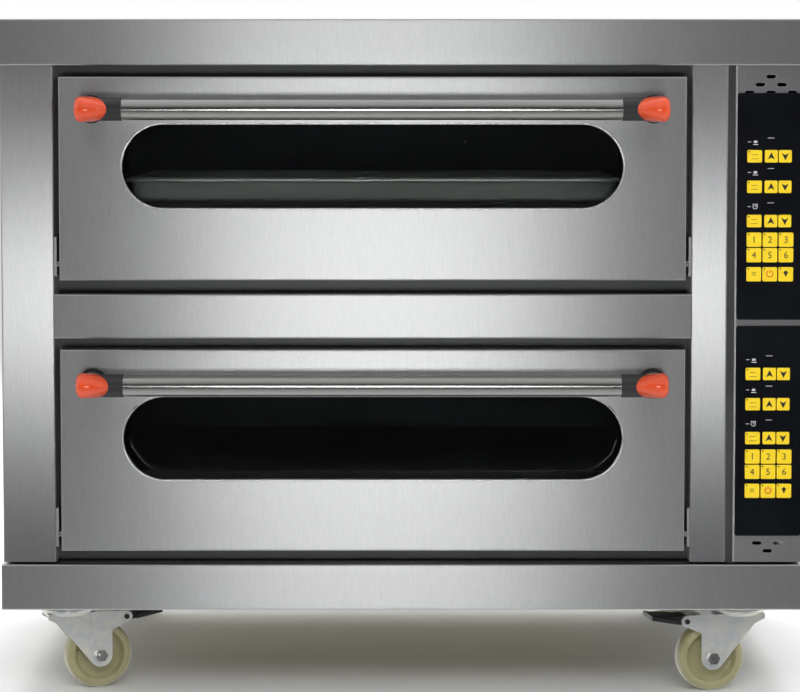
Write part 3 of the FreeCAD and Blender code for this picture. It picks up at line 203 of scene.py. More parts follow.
# %% Zinc, galvanised sheet and polished tube
def mottled_metal(name, low, high, rough, scale, relief=0.00005, metal=1.0, swirl=0.6):
    finish = Finish(name)
    finish.set(Metallic=metal)
    patches = finish.noise(scale, detail=5.0, roughness=0.6, distortion=swirl)
    finish.colour(finish.ramp(patches, low, high, 0.35, 0.65))
    finish.roughness(finish.range(patches, *rough))
    pores = finish.noise(scale * 14, detail=2.0)
    finish.relief(pores, relief, 0.6)
    return finish.material


zinc = mottled_metal("zinc plate", (0.74, 0.77, 0.79), (0.90, 0.89, 0.80), (0.28, 0.46), 55, metal=0.65)
galvanised = mottled_metal("galvanised sheet", (0.44, 0.455, 0.46), (0.54, 0.55, 0.55), (0.40, 0.52), 60)
screw_steel = mottled_metal("screw steel", (0.55, 0.55, 0.55), (0.7, 0.7, 0.68), (0.2, 0.3), 80)
tube_steel = brushed_steel("handle tube", QUARTER, (0.34, 0.335, 0.325), (0.42, 0.415, 0.40), (0.16, 0.22), smear=0.2,
                           stretch=(60, 900, 900), wave=0.000001)

# %% [markdown]
# Paint, plastic and rubber are dielectrics: the colour sits in the base, and the light off the surface stays
# white. A fine pebble texture separates moulded plastic from lacquer.

# %% Plastics, paint and rubber
def moulded(name, low, high, rough, scale=900, relief=0.00003, coat=0.0, patches=12):
    finish = Finish(name)
    finish.set(Coat_Weight=coat, Coat_Roughness=0.08)
    cloud = finish.noise(patches, detail=3.0)
    finish.colour(finish.ramp(cloud, low, high))
    pebble = finish.noise(scale, detail=2.0)
    finish.roughness(finish.range(pebble, *rough))
    finish.relief(pebble, relief, 0.5)
    return finish.material


black_plastic = moulded("black plastic", (0.012, 0.012, 0.013), (0.022, 0.022, 0.023), (0.32, 0.5))
orange_plastic = moulded("orange plastic", (0.66, 0.060, 0.012), (0.76, 0.080, 0.016), (0.14, 0.22), 500, 0.00001,
                         coat=0.5)
# The frame behind the doors: dark paint, made near black as painted shade for the recesses round the doors.
frame_paint_dark_as_shade = moulded("frame paint, dark as painted shade", (0.05, 0.05, 0.055), (0.08, 0.08, 0.085), (0.4, 0.6), 300)
seal_rubber = moulded("door seal", (0.03, 0.03, 0.032), (0.05, 0.05, 0.05), (0.55, 0.75), 700)
gland_plastic = moulded("gland plastic", (0.02, 0.02, 0.02), (0.035, 0.035, 0.035), (0.4, 0.55))
nylon = moulded("cast nylon", (0.30, 0.285, 0.145), (0.42, 0.395, 0.225), (0.28, 0.42), 420, 0.00004, coat=0.15,
                patches=30)
board_green = moulded("circuit board", (0.01, 0.13, 0.05), (0.02, 0.2, 0.09), (0.3, 0.5))
print("plastics ready")

# %% [markdown]
# Inside the chambers the sheet has darkened with heat, the stone is a rough fired slab, and the elements have a
# dull oxide skin. The wool round them is a felt of short fibres. The sheet round the mouths, outside the chambers,
# is dark as painted shade: it stands for the shade in the gaps round the doors and beside the keypads.

# %% Inside finishes
def fired(name, low, high, rough, scale, relief, metal=0.0):
    finish = Finish(name)
    finish.set(Metallic=metal)
    blotches = finish.noise(scale, detail=8.0, roughness=0.7)
    finish.colour(finish.ramp(blotches, low, high))
    finish.roughness(finish.range(blotches, *rough))
    finish.relief(finish.noise(scale * 20, detail=3.0), relief)
    return finish.material


chamber_steel = fired("heat-darkened sheet", (0.010, 0.013, 0.016), (0.024, 0.030, 0.034), (0.4, 0.6), 9, 0.00002,
                      metal=0.5)
stone = fired("hearth stone", (0.026, 0.024, 0.022), (0.055, 0.050, 0.044), (0.75, 0.95), 30, 0.0006)
sheath = fired("element sheath", (0.05, 0.045, 0.04), (0.10, 0.09, 0.085), (0.45, 0.7), 60, 0.0001, 0.7)
# Painted shade: this sheet is made dark to stand for the shade in the narrow gaps round the doors.
shade_dark_mouth_steel = fired("sheet round the mouths, dark as painted shade", (0.07, 0.075, 0.07), (0.11, 0.115, 0.11), (0.35, 0.5), 9, 0.00005,
                    metal=0.9)
wool = fired("mineral wool", (0.40, 0.36, 0.22), (0.60, 0.55, 0.38), (0.9, 1.0), 60, 0.002)

# %% [markdown]
# The tray is pressed from grey sheet. The doors' glass is clear: real transmission with a faint green tint, so that
# the tray behind it still shows. The window looks dark because the chamber behind it is.

# %% Tray and glass
tray_steel = mottled_metal("tray sheet", (0.82, 0.84, 0.80), (0.86, 0.88, 0.84), (0.26, 0.32), 3, 0.0, metal=0.25,
                           swirl=0.0)


def tinted_glass(name, tint, rough=(0.0, 0.03), gloss=0.5):
    finish = Finish(name)
    finish.set(Transmission_Weight=1.0, IOR=1.45, Specular_IOR_Level=gloss)
    smear = finish.noise(9, detail=3.0)
    finish.colour(finish.ramp(smear, tint, [part * 1.06 for part in tint]))
    finish.roughness(finish.range(smear, *rough))
    return finish.material


door_glass = tinted_glass("door glass", (0.92, 0.95, 0.94), (0.0, 0.0), 0.15)
lamp_glass = tinted_glass("lamp glass", (0.95, 0.93, 0.85), (0.2, 0.35))
print("glass ready")

# %% [markdown]
# ## Finishes on the frame
#
# The record names a material slot for each node. One table turns those names into the finishes above, and the few
# nodes that need another grain or another metal come after it. The front plate and the strip beside the keypads
# get a dark sheet there as painted shade for their narrow gaps.

# %% Give each node its finish
# The frame's slot takes a near-black paint, a painted shade for the recesses behind the doors.
BY_SLOT = {
    "stainless": steel, "polished_steel": tube_steel, "galvanised": galvanised, "zinc": zinc,
    "frame_steel": frame_paint_dark_as_shade, "dark_steel": chamber_steel, "stone": stone, "wool": wool,
    "element_sheath": sheath, "lamp_glass": lamp_glass, "door_glass": door_glass, "tray_steel": tray_steel,
    "black_plastic": black_plastic, "orange_plastic": orange_plastic, "keypad_black": black_plastic,
    "key_yellow": orange_plastic, "board_green": board_green, "seal_rubber": seal_rubber, "nylon": nylon,
}
slot_of = {part["node"]: part["material_slot"] for part in record["subparts"]}


def finish_node(name, material):
    mesh = nodes[name].data
    if not mesh.materials:
        mesh.materials.append(material)
    for index in range(len(mesh.materials)):
        mesh.materials[index] = material


for name in nodes:
    finish_node(name, BY_SLOT[slot_of[name]])
for name in ("left_post", "right_post", "left_side_panel", "right_side_panel"):
    finish_node(name, post_steel)
# Painted shade: these two sheets sit in narrow, shaded gaps and are made dark for that shade.
finish_node("front_plate", shade_dark_mouth_steel)
finish_node("control_bulkhead", shade_dark_mouth_steel)
finish_node("top_panel", top_steel)
finish_node("temperature_probes", sheath)
finish_node("cable_gland", gland_plastic)
for name in nodes:
    if name.endswith("_axle") or name == "panel_screws":
        finish_node(name, screw_steel)
print("finished", len(nodes), "nodes")

# %% [markdown]
# ## Making pieces
#
# Every new piece follows the same path: a bmesh is shaped by operators, written to a mesh, and the object is left
# at the origin so that its place is in its mesh. The piece then rides on a body of the frame, and if it stands for
# a frame node it replaces it.

# %% Helpers for pieces
WELD = 1e-6


def finished(name, shape, material, body, smooth=True, stands_for=()):
    """Turns a bmesh into a piece that rides on a body."""
    mesh = bpy.data.meshes.new(name)
    bmesh.ops.remove_doubles(shape, verts=shape.verts, dist=WELD)
    for face in shape.faces:
        face.smooth = smooth
    shape.to_mesh(mesh)
    shape.free()
    mesh.materials.append(material)
    piece = bpy.data.objects.new(name, mesh)
    bpy.context.scene.collection.objects.link(piece)
    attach(piece, body)
    if stands_for:
        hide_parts(*stands_for)
    print(name, len(mesh.polygons), "faces")
    return piece


def islands(node):
    """The boxes of a node's separate solids, from the highest down and from left to right."""
    shape = bmesh.new()
    shape.from_mesh(nodes[node].data)
    bmesh.ops.remove_doubles(shape, verts=shape.verts, dist=WELD)
    unseen = set(shape.verts)
    found = []
    while unseen:
        edge = [unseen.pop()]
        low, high = edge[0].co.copy(), edge[0].co.copy()
        while edge:
            vert = edge.pop()
            low = Vector(map(min, low, vert.co))
            high = Vector(map(max, high, vert.co))
            for link in vert.link_edges:
                other = link.other_vert(vert)
                if other in unseen:
                    unseen.remove(other)
                    edge.append(other)
        found.append((low, high))
    shape.free()
    return sorted(found, key=lambda pair: (-round(pair[1].z, 4), pair[0].x))


# %% [markdown]
# ## Keypads
#
# Each deck has a membrane keypad: one glossy black film with the keys printed and embossed on it. The keys are low
# cushions with rounded corners. Each starts as a rectangle whose four corners are bevelled, gets its thickness by
# an extrusion, and has its front edge softened. Their places come from the frame's own key solids.

# %% Membranes
FILM_CORNER, FILM_EDGE = 3 * MM, 0.3 * MM
KEY_CORNER, KEY_EDGE = 1.6 * MM, 0.4 * MM


def rounded_slab(shape, low, high, corner, edge):
    """A slab with round corners, seen from the front, and a softened front edge."""
    centre = (low + high) / 2
    size = high - low
    verts = bmesh.ops.create_grid(shape, x_segments=1, y_segments=1, size=0.5)["verts"]
    bmesh.ops.scale(shape, verts=verts, vec=(size.x, size.z, 1))
    bmesh.ops.rotate(shape, verts=verts, matrix=Matrix.Rotation(math.radians(90), 3, "X"))
    bmesh.ops.translate(shape, verts=verts, vec=(centre.x, high.y, centre.z))
    made = bmesh.ops.bevel(shape, geom=verts, offset=corner, offset_type="OFFSET", affect="VERTICES", segments=6,
                           profile=0.5, material=-1)
    face = made["verts"][0].link_faces[0]
    grown = bmesh.ops.extrude_face_region(shape, geom=[face])["geom"]
    front_verts = [item for item in grown if isinstance(item, bmesh.types.BMVert)]
    bmesh.ops.translate(shape, verts=front_verts, vec=(0, -size.y, 0))
    front_face = [item for item in grown if isinstance(item, bmesh.types.BMFace)]
    rim = list({link for part in front_face for link in part.edges})
    bmesh.ops.bevel(shape, geom=rim, offset=edge, offset_type="OFFSET", affect="EDGES", segments=3, profile=0.5,
                    material=-1)


keypad_film = Finish("keypad film")
keypad_film.set(Coat_Weight=0.6, Coat_Roughness=0.03)
film_cloud = keypad_film.noise(14, detail=2.0)
keypad_film.colour(keypad_film.ramp(film_cloud, (0.0035, 0.004, 0.006), (0.006, 0.007, 0.010)))
keypad_film.roughness(keypad_film.range(film_cloud, 0.10, 0.16))
keypad_film.relief(keypad_film.noise(600, detail=1.0), 0.000003)

shape = bmesh.new()
for low, high in islands("keypad_membranes"):
    rounded_slab(shape, low, high, FILM_CORNER, FILM_EDGE)
bmesh.ops.recalc_face_normals(shape, faces=shape.faces)
finished("keypad_films", shape, keypad_film.material, "oven_body", smooth=False,
         stands_for=["keypad_membranes"])

# %% Keys
key_yellow = Finish("printed yellow")
key_yellow.set(Coat_Weight=0.1, Coat_Roughness=0.15)
ink_cloud = key_yellow.noise(160, detail=3.0)
key_yellow.colour(key_yellow.ramp(ink_cloud, (0.90, 0.62, 0.0), (0.96, 0.69, 0.003)))
key_yellow.roughness(key_yellow.range(ink_cloud, 0.30, 0.42))
key_yellow.relief(key_yellow.noise(2500, detail=1.0), 0.000004)

keys = islands("key_pads")
shape = bmesh.new()
for low, high in keys:
    rounded_slab(shape, low, high, KEY_CORNER, KEY_EDGE)
bmesh.ops.recalc_face_normals(shape, faces=shape.faces)
finished("keys", shape, key_yellow.material, "oven_body", smooth=False, stands_for=["key_pads"])
print(len(keys), "keys")

# %% [markdown]
# The print on the keys is generic: arrowheads, digits, a power ring, a lamp and a list. Each sign is a flat shape
# a tenth of a millimetre in front of its key. Digits are text turned into mesh; the rest are small rings, discs
# and bars. All signs of one colour are one piece.

# %% Helpers for printed signs
class Print:
    """Flat signs of one colour, gathered in one bmesh and facing the front."""

    def __init__(self):
        self.shape = bmesh.new()
        self.stand = Matrix.Rotation(math.radians(90), 3, "X")

    def put(self, verts, x, y, z):
        bmesh.ops.rotate(self.shape, verts=verts, matrix=self.stand)
        bmesh.ops.translate(self.shape, verts=verts, vec=(x, y, z))

    def bar(self, x, y, z, width, height, turn=0.0):
        verts = bmesh.ops.create_grid(self.shape, x_segments=1, y_segments=1, size=0.5)["verts"]
        bmesh.ops.scale(self.shape, verts=verts, vec=(width, height, 1))
        bmesh.ops.rotate(self.shape, verts=verts, matrix=Matrix.Rotation(turn, 3, "Z"))
        self.put(verts, x, y, z)

    def disc(self, x, y, z, radius, sides=20, stretch=1.0):
        verts = bmesh.ops.create_circle(self.shape, cap_ends=True, segments=sides, radius=radius)["verts"]
        bmesh.ops.scale(self.shape, verts=verts, vec=(1, stretch, 1))
        self.put(verts, x, y, z)

    def ring(self, x, y, z, radius, thick, start=0.0, sweep=math.tau, steps=24):
        """A ring or an arc, spun from one short edge."""
        ends = [self.shape.verts.new((radius - thick, 0, 0)), self.shape.verts.new((radius, 0, 0))]
        edge = self.shape.edges.new(ends)
        bmesh.ops.rotate(self.shape, verts=ends, matrix=Matrix.Rotation(start, 3, "Z"))
        made = bmesh.ops.spin(self.shape, geom=[*ends, edge], cent=(0, 0, 0), axis=(0, 0, 1), angle=sweep,
                              steps=steps, use_merge=sweep >= math.tau)
        verts = set(ends)
        todo = [item for item in made["geom_last"] if isinstance(item, bmesh.types.BMVert)] + ends
        while todo:
            vert = todo.pop()
            verts.add(vert)
            todo += [link.other_vert(vert) for link in vert.link_edges if link.other_vert(vert) not in verts]
        self.put(list(verts), x, y, z)

    def arrow(self, x, y, z, size, up=True):
        """An arrowhead with a notched base."""
        points = [(0, 0.55), (-0.5, -0.45), (0, -0.18), (0.5, -0.45)]
        verts = [self.shape.verts.new((px * size, py * size * (1 if up else -1), 0)) for px, py in points]
        self.shape.faces.new(verts)
        self.put(verts, x, y, z)

    def text(self, body, x, y, z, size):
        """A generic sign or digit, from a text curve turned into mesh."""
        curve = bpy.data.curves.new("sign", "FONT")
        curve.body = body
        curve.size = size
        curve.align_x = "CENTER"
        curve.align_y = "CENTER"
        curve.resolution_u = 3
        holder = bpy.data.objects.new("sign", curve)
        mesh = bpy.data.meshes.new_from_object(holder)
        before = set(self.shape.verts)
        self.shape.from_mesh(mesh)
        bpy.data.objects.remove(holder)
        bpy.data.meshes.remove(mesh)
        bpy.data.curves.remove(curve)
        self.put([vert for vert in self.shape.verts if vert not in before], x, y, z)

    def piece(self, name, material, slot):
        for face in self.shape.faces:
            face.normal_update()
            if face.normal.y > 0:
                face.normal_flip()
        finished(name, self.shape, material, "oven_body", smooth=False)


# %% Printed signs
def ink(name, low, high):
    finish = Finish(name)
    speckle = finish.noise(1500, detail=2.0)
    finish.colour(finish.ramp(speckle, low, high))
    finish.roughness(finish.range(speckle, 0.35, 0.5))
    return finish.material


dark = Print()
red = Print()
white = Print()
SIGNS = ("wide", "up", "down") * 3 + tuple("123456") + ("list", "power", "lamp")
KEY_PRINT_LIFT, FILM_PRINT_LIFT = 0.1 * MM, 0.05 * MM
key_front = keys[0][0].y - KEY_PRINT_LIFT
for index, (low, high) in enumerate(keys):
    sign = SIGNS[index % len(SIGNS)]
    x, z = (low.x + high.x) / 2, (low.z + high.z) / 2
    if sign in ("up", "down"):
        dark.arrow(x, key_front, z, 8.5 * MM, sign == "up")
    elif sign == "power":
        red.ring(x, key_front, z + 0.6 * MM, 4.2 * MM, 1.1 * MM, math.radians(120), math.radians(300))
        red.bar(x, key_front, z + 3.6 * MM, 1.1 * MM, 4.2 * MM)
    elif sign == "lamp":
        dark.disc(x, key_front, z + 1.8 * MM, 2.3 * MM, stretch=1.1)
        dark.bar(x, key_front, z - 1.6 * MM, 2.0 * MM, 1.6 * MM)
        for side in (-1, 1):
            dark.bar(x + side * 3.8 * MM, key_front, z + 2.4 * MM, 1.2 * MM, 0.5 * MM, side * 0.5)
    elif sign == "list":
        for row in (-1, 0, 1):
            dark.bar(x, key_front, z + (0.6 + row * 1.7) * MM, 5.0 * MM, 0.55 * MM)
    elif sign == "wide":
        for row, width in ((1, 7.0), (-1, 8.5)):
            dark.bar(x, key_front, z + (row * 2.4 - 0.6) * MM, width * MM, 0.5 * MM)
    else:
        dark.text(sign, x, key_front, z - 0.3 * MM, 11 * MM)
    if sign not in ("up", "down"):
        dark.bar(low.x + 2.2 * MM, key_front, high.z - 2.0 * MM, 1.6 * MM, 1.6 * MM)
print(len(dark.shape.faces), "dark faces")

# %% Small white marks above the rows
film_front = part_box("keypad_membranes")[0].y - FILM_PRINT_LIFT
rows = [pair for index, pair in enumerate(keys) if SIGNS[index % len(SIGNS)] == "wide"]
for index, (low, high) in enumerate(rows):
    x = (low.x + high.x) / 2 + 1.0 * MM
    z = high.z + 9.5 * MM
    if index % 3 == 2:
        white.ring(x, film_front, z, 2.9 * MM, 0.5 * MM)
        white.bar(x, film_front, z + 0.7 * MM, 0.5 * MM, 2.0 * MM)
        white.bar(x + 0.6 * MM, film_front, z, 1.6 * MM, 0.5 * MM)
        white.bar(x - 2.2 * MM, film_front, z + 3.0 * MM, 1.4 * MM, 0.6 * MM, 0.7)
        white.bar(x + 2.2 * MM, film_front, z + 3.0 * MM, 1.4 * MM, 0.6 * MM, -0.7)
    else:
        white.bar(x, film_front, z - 3.0 * MM, 6.0 * MM, 0.6 * MM)
        for step in (-1, 0, 1):
            white.disc(x + step * 1.5 * MM, film_front, z, 0.55 * MM, 12, 3.4 - abs(step))
    white.bar(x - 7.0 * MM, film_front, z, 4.0 * MM, 0.45 * MM)
    white.bar(x + 18.0 * MM, film_front, z + 4.5 * MM, 7.5 * MM, 0.45 * MM)
dark.piece("key_signs", ink("black ink", (0.01, 0.01, 0.008), (0.02, 0.02, 0.016)), "keypad_black")
red.piece("power_signs", ink("red ink", (0.62, 0.02, 0.01), (0.70, 0.035, 0.015)), "orange_plastic")
white.piece("panel_marks", ink("white ink", (0.75, 0.75, 0.75), (0.85, 0.85, 0.85)), "keypad_black")

# %% [markdown]
# ## Handles
#
# The handle is a steel tube between two black elbows, and each elbow wears an orange cap that ends in a tip along
# the tube. A cap is a short cylinder with a rounded end, cut by one slanted plane, so that from the front its
# edge is half an ellipse. It is hollow, and its wall gets its thickness from a modifier.

# %% Handle caps
CAP_WALL = 1.2 * MM
CAP_ROUND = 7.5 * MM
CAP_SLANT = 1.45
for deck in DECKS:
    shape = bmesh.new()
    for low, high in islands(deck + "_handle_caps"):
        side = -1 if (low.x + high.x) / 2 < middle(deck + "_door_skin").x else 1
        outer, tip = (low.x, high.x) if side < 0 else (high.x, low.x)
        radius = (high.z - low.z) / 2
        axis_y = low.y + radius
        before = set(shape.verts)
        made = bmesh.ops.create_cone(shape, cap_ends=True, segments=56, radius1=radius, radius2=radius,
                                     depth=abs(tip - outer))["verts"]
        end = [edge for edge in shape.edges if edge.verts[0] in set(made) and edge.verts[1] in set(made)
               and edge.verts[0].co.z < 0 and edge.verts[1].co.z < 0 and len(edge.link_faces) == 2
               and any(len(face.verts) > 4 for face in edge.link_faces)]
        bmesh.ops.bevel(shape, geom=end, offset=CAP_ROUND, offset_type="OFFSET", affect="EDGES", segments=7,
                        profile=0.5, material=-1)
        verts = [vert for vert in shape.verts if vert not in before]
        bmesh.ops.rotate(shape, verts=verts, matrix=Matrix.Rotation(math.radians(90 * -side), 3, "Y"))
        bmesh.ops.translate(shape, verts=verts, vec=((outer + tip) / 2, axis_y, (low.z + high.z) / 2))
        slant = Vector((-side, CAP_SLANT, 0)).normalized()
        part = verts + list({edge for vert in verts for edge in vert.link_edges})
        part += list({face for vert in verts for face in vert.link_faces})
        bmesh.ops.bisect_plane(shape, geom=part, dist=WELD, plane_co=(tip, axis_y - radius, 0), plane_no=slant,
                               clear_outer=True)
    bmesh.ops.recalc_face_normals(shape, faces=shape.faces)
    cap = finished(deck + "_end_caps", shape, orange_plastic, deck + "_door",
                   stands_for=[deck + "_handle_caps"])
    wall = cap.modifiers.new("wall", "SOLIDIFY")
    wall.thickness = CAP_WALL
    wall.offset = -1

# %% [markdown]
# ## Window lips
#
# Each door skin has a long window with round ends, and the cut edge is rolled over so that it doesn't show as raw
# sheet. The outline is a circle pulled apart into two halves; extruding it a few times along a small curve gives
# the rolled lip. The frame's own opening gives its size.

# %% Window lips
WINDOW_MARGIN = 40 * MM
LIP_STEPS = 98
LIP = ((1.7, 0.0), (1.4, -0.45), (0.7, -0.75), (0.0, -0.6), (-0.4, -0.1), (-0.5, 1.0), (-0.5, 3.0))


def opening_of(door_skin):
    """The lowest and highest corner of the window in a door skin, read from its front face."""
    low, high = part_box(door_skin)
    edge = [vert.co for vert in nodes[door_skin].data.vertices
            if abs(vert.co.y - low.y) < 0.05 * MM and low.x + WINDOW_MARGIN < vert.co.x < high.x - WINDOW_MARGIN
            and low.z + WINDOW_MARGIN < vert.co.z < high.z - 0.6 * WINDOW_MARGIN]
    return (Vector(map(min, *edge)), Vector(map(max, *edge)))


lip_steel = mottled_metal("polished lip", (0.72, 0.73, 0.74), (0.80, 0.81, 0.82), (0.16, 0.24), 60)
for deck in DECKS:
    low, high = opening_of(deck + "_door_skin")
    centre = (low + high) / 2
    radius = (high.z - low.z) / 2
    reach = (high.x - low.x) / 2 - radius
    shape = bmesh.new()
    loop = bmesh.ops.create_circle(shape, segments=LIP_STEPS, radius=1)["verts"]
    bmesh.ops.rotate(shape, verts=loop, matrix=Matrix.Rotation(math.pi / LIP_STEPS, 3, "Z"))
    bmesh.ops.rotate(shape, verts=loop, matrix=Matrix.Rotation(math.radians(90), 3, "X"))
    sides = {vert: math.copysign(reach, vert.co.x) for vert in loop}
    flat = {vert: vert.co.copy() for vert in loop}
    edges = list({edge for vert in loop for edge in vert.link_edges})
    for step, (grow, depth) in enumerate(LIP):
        if step:
            made = bmesh.ops.extrude_edge_only(shape, edges=edges)["geom"]
            new_verts = [item for item in made if isinstance(item, bmesh.types.BMVert)]
            edges = [item for item in made if isinstance(item, bmesh.types.BMEdge)
                     and item.verts[0] in new_verts and item.verts[1] in new_verts]
            near = {vert: min(loop, key=lambda old: (old.co - vert.co).length_squared) for vert in new_verts}
            sides = {vert: sides[near[vert]] for vert in new_verts}
            flat = {vert: flat[near[vert]] for vert in new_verts}
            loop = new_verts
        for vert in loop:
            shift = Vector((centre.x + sides[vert], low.y + depth * MM, centre.z))
            vert.co = flat[vert] * (radius + grow * MM) + shift
    bmesh.ops.recalc_face_normals(shape, faces=shape.faces)
    finished(deck + "_window_lip", shape, lip_steel, deck + "_door")
    print(deck, "window", [round(size / MM, 1) for size in high - low])

# %% [markdown]
# ## Wheels
#
# A cast nylon wheel is a body of revolution: half its section is drawn as a line of points, and a full spin round
# the axle closes it. The rim is thick, the web between rim and hub is thin, and every corner is rounded the way a
# mould leaves it. The spin is made round an upright axle and then turned to lie on the frame's own wheel joint.

# %% Wheels
def along(node, axis, centre):
    """How far a node reaches along an axis from a centre."""
    return max((vert.co - centre).dot(axis) for vert in nodes[node].data.vertices)


for caster in CASTERS:
    node = caster + "_wheel"
    centre = middle(node)
    axis = Vector(joints[caster + "_roll"]["axis"]).normalized()
    radius = span(node).z / 2
    half = along(node, axis, centre)
    section = [(6.3, half / MM), (10.5, half / MM), (11.5, half / MM - 1.0), (13.0, 5.2), (15.5, 4.2), (25.0, 4.2),
               (28.5, 5.0), (30.0, half / MM - 3.2), (31.5, half / MM - 2.4), (35.5, half / MM - 2.2),
               (37.8, half / MM - 3.2), (39.3, half / MM - 5.2), (radius / MM, half / MM - 7.5)]
    points = section + [(r, -a) for r, a in reversed(section)]
    shape = bmesh.new()
    verts = [shape.verts.new((r * MM, 0, a * MM)) for r, a in points]
    edges = [shape.edges.new((verts[index], verts[(index + 1) % len(verts)])) for index in range(len(verts))]
    bmesh.ops.spin(shape, geom=verts + edges, cent=(0, 0, 0), axis=(0, 0, 1), angle=math.tau, steps=72,
                   use_merge=True)
    bmesh.ops.remove_doubles(shape, verts=shape.verts, dist=WELD)
    turn = axis.to_track_quat("Z", "Y").to_matrix()
    bmesh.ops.rotate(shape, verts=shape.verts, matrix=turn)
    bmesh.ops.translate(shape, verts=shape.verts, vec=centre)
    bmesh.ops.recalc_face_normals(shape, faces=shape.faces)
    finished(caster + "_nylon_wheel", shape, nylon, node, stands_for=[node])

# %% [markdown]
# ## Baking tray
#
# A tray is pressed from one sheet: a flat floor with round corners, a small radius up into a leaning wall, and a
# rolled rim. The floor is a rectangle whose corners are bevelled; its outline is then extruded step by step along
# the wall's section. Solidify turns the surface into sheet.

# %% Baking tray
low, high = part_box("baking_tray")
centre = (low + high) / 2
SHEET = 1.2 * MM
CORNER = 14 * MM
FOOT, ROLL = 9.0, 2.6
WALL_TOP = (high.z - low.z) / MM - ROLL - SHEET / MM
section = [(FOOT * math.sin(math.radians(a)), FOOT * (1 - math.cos(math.radians(a)))) for a in range(15, 76, 15)]
section.append((FOOT + 2.5, WALL_TOP))
roll_x = FOOT + 2.5 + ROLL
section += [(roll_x - ROLL * math.cos(math.radians(a)), WALL_TOP + ROLL * math.sin(math.radians(a)))
            for a in range(30, 211, 30)]
outset = max(x for x, _ in section)
half_x = (high.x - low.x) / 2 - (outset + 0.1) * MM
half_y = (high.y - low.y) / 2 - (outset + 0.1) * MM
shape = bmesh.new()
verts = bmesh.ops.create_grid(shape, x_segments=1, y_segments=1, size=1)["verts"]
bmesh.ops.scale(shape, verts=verts, vec=(half_x, half_y, 1))
bmesh.ops.bevel(shape, geom=verts, offset=CORNER, offset_type="OFFSET", affect="VERTICES", segments=10,
                profile=0.5, material=-1)
bmesh.ops.translate(shape, verts=shape.verts, vec=(centre.x, centre.y, low.z))
edges = [edge for edge in shape.edges if edge.is_boundary]
done_x = done_z = 0.0
for out, rise in section:
    made = bmesh.ops.extrude_edge_only(shape, edges=edges)["geom"]
    verts = [item for item in made if isinstance(item, bmesh.types.BMVert)]
    edges = [item for item in made if isinstance(item, bmesh.types.BMEdge)
             and item.verts[0] in verts and item.verts[1] in verts]
    grow_x = (half_x + out * MM) / (half_x + done_x * MM)
    grow_y = (half_y + out * MM) / (half_y + done_x * MM)
    place = Matrix.Translation(-centre)
    bmesh.ops.scale(shape, verts=verts, vec=(grow_x, grow_y, 1), space=place)
    bmesh.ops.translate(shape, verts=verts, vec=(0, 0, (rise - done_z) * MM))
    done_x, done_z = out, rise
bmesh.ops.recalc_face_normals(shape, faces=shape.faces)
tray = finished("pressed_tray", shape, tray_steel, "oven_body", stands_for=["baking_tray"])
sheet = tray.modifiers.new("sheet", "SOLIDIFY")
sheet.thickness = SHEET
sheet.offset = 1
print("tray", [round(size / MM, 1) for size in span("baking_tray")])

# %% [markdown]
# ## Camera
#
# A long lens from a little over three metres keeps the posts upright. The eye is level with the upper door, and
# the lens is aimed down at the middle of the oven, with a small shift that keeps the tilt slight.

# %% Camera
DISTANCE = 3.2
VIEW_WIDTH = 0.938
SHIFT = -0.08
eye = Vector((-0.0035, front - DISTANCE, 0.6948))
aim = Vector((-0.0035, front, 0.4181))

camera_data = bpy.data.cameras.new("camera")
camera = bpy.data.objects.new("camera", camera_data)
bpy.context.scene.collection.objects.link(camera)
camera_data.sensor_width = 36
camera_data.lens = 36 * (aim - eye).length / VIEW_WIDTH
camera_data.shift_y = SHIFT
drop = math.atan2(eye.z - aim.z, DISTANCE)
tilt = drop - math.atan(-SHIFT * 36 / camera_data.lens)
camera.location = eye
camera.rotation_euler = (math.radians(90) - tilt, 0, 0)
bpy.context.scene.camera = camera
print("lens", round(camera_data.lens, 1), "mm, tilt", round(math.degrees(tilt), 2), "degrees")

# %% [markdown]
# ## Floor and light
#
# The floor is one wide, pale plane. Steel shows what stands around it, so the light is chosen for what the oven
# mirrors. One wide soft box stands behind the camera, a little to the left, and gives the steel its bright middle.
# The lamps over, behind and in front of the oven light the painted and moulded parts and the floor, but they are
# kept out of the reflections, and so is the floor.

# %% Floor
FLOOR_SIZE = 60
mesh = bpy.data.meshes.new("floor")
shape = bmesh.new()
edge = bmesh.ops.create_grid(shape, x_segments=1, y_segments=1, size=0.5)["verts"]
bmesh.ops.scale(shape, verts=edge, vec=(FLOOR_SIZE, FLOOR_SIZE, 1))
shape.to_mesh(mesh)
shape.free()
floor = bpy.data.objects.new("floor", mesh)
bpy.context.scene.collection.objects.link(floor)
floor_finish = moulded("floor", (0.80, 0.80, 0.80), (0.84, 0.84, 0.84), (0.7, 0.9), 40, 0.00001, patches=2)
mesh.materials.append(floor_finish)
floor.visible_glossy = False
floor.visible_transmission = False

# %% Lights
def soft_box(name, place, target, width, height, power, mirrored=True, spread=180):
    """A rectangular area light that faces a target; it may be left out of reflections."""
    data = bpy.data.lights.new(name, "AREA")
    data.shape = "RECTANGLE"
    data.size = width
    data.size_y = height
    data.energy = power
    data.spread = math.radians(spread)
    light = bpy.data.objects.new(name, data)
    bpy.context.scene.collection.objects.link(light)
    light.location = place
    light.visible_camera = False
    light.visible_glossy = mirrored
    light.rotation_euler = (Vector(target) - Vector(place)).to_track_quat("-Z", "Y").to_euler()
    return light


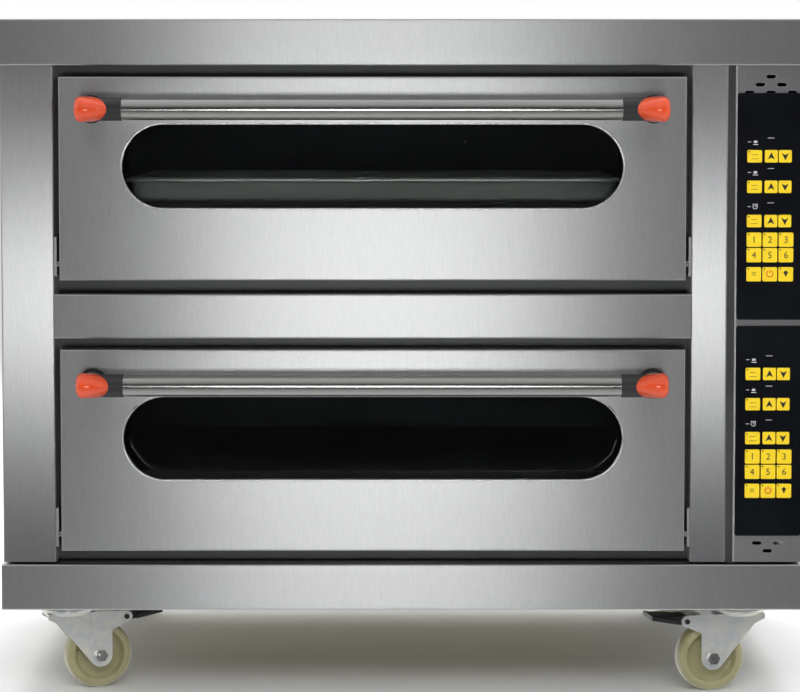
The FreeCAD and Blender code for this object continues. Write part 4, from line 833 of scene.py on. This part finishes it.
soft_box("key", (-0.06, front - 3.5, 0.235), (-0.03, front, 0.47), 0.85, 0.42, 1.75, spread=70)
soft_box("top", (0.0, 0.9, 2.4), (0.0, 0.2, 0.3), 2.6, 1.4, 60, mirrored=False)
soft_box("left", (-2.4, -1.6, 1.5), (0, -0.2, 0.4), 0.8, 1.4, 3)
soft_box("right", (2.2, -2.0, 1.2), (0, -0.2, 0.4), 0.8, 1.4, 3)
soft_box("back", (0.0, 2.6, 1.9), (0, 0.6, 0.0), 3.6, 1.2, 55, mirrored=False)
soft_box("fill", (0.2, -2.6, 1.7), (0.05, -0.3, 0.4), 1.6, 1.0, 3.6, mirrored=False, spread=60)
print("six soft boxes")

# %% [markdown]
# The room is a world whose brightness depends on the direction. Behind the camera is a dark patch that fades out
# to the sides, upwards and downwards: the oven mirrors it as the dark ends of its sheets. Further round the room
# is grey, and the half behind the oven is white.

# %% Room
DARK_EDGE, GREY_EDGE, SIDE, WHITE_EDGE = 0.21, 0.37, 0.5, 0.95
world = bpy.data.worlds.new("studio")
bpy.context.scene.world = world
world.use_nodes = True
tree = world.node_tree
sky = tree.nodes["Background"]
direction = tree.nodes.new("ShaderNodeTexCoord").outputs["Generated"]

sideways = tree.nodes.new("ShaderNodeVectorMath")
sideways.operation = "MULTIPLY"
sideways.inputs[1].default_value = (0.5, 0.0, 0.8)
tree.links.new(direction, sideways.inputs[0])
off_axis = tree.nodes.new("ShaderNodeVectorMath")
off_axis.operation = "LENGTH"
tree.links.new(sideways.outputs["Vector"], off_axis.inputs[0])

parts = tree.nodes.new("ShaderNodeSeparateXYZ")
tree.links.new(direction, parts.inputs["Vector"])
behind_oven = tree.nodes.new("ShaderNodeMath")
behind_oven.operation = "GREATER_THAN"
behind_oven.inputs[1].default_value = 0.0
tree.links.new(parts.outputs["Y"], behind_oven.inputs[0])

place_in_room = tree.nodes.new("ShaderNodeMath")
place_in_room.operation = "MAXIMUM"
tree.links.new(off_axis.outputs["Value"], place_in_room.inputs[0])
tree.links.new(behind_oven.outputs["Value"], place_in_room.inputs[1])

fade = tree.nodes.new("ShaderNodeValToRGB")
fade.color_ramp.elements[0].position = DARK_EDGE
fade.color_ramp.elements[0].color = (0.02, 0.02, 0.022, 1)
fade.color_ramp.elements[1].position = GREY_EDGE
fade.color_ramp.elements[1].color = (0.27, 0.27, 0.275, 1)
for place, value in ((SIDE, 0.55), (WHITE_EDGE, 1.0)):
    fade.color_ramp.elements.new(place).color = (value, value, value, 1)
tree.links.new(place_in_room.outputs["Value"], fade.inputs["Fac"])
tree.links.new(fade.outputs["Color"], sky.inputs["Color"])
sky.inputs["Strength"].default_value = 1.0
bpy.context.scene.view_settings.view_transform = "Standard"
print("studio ready")
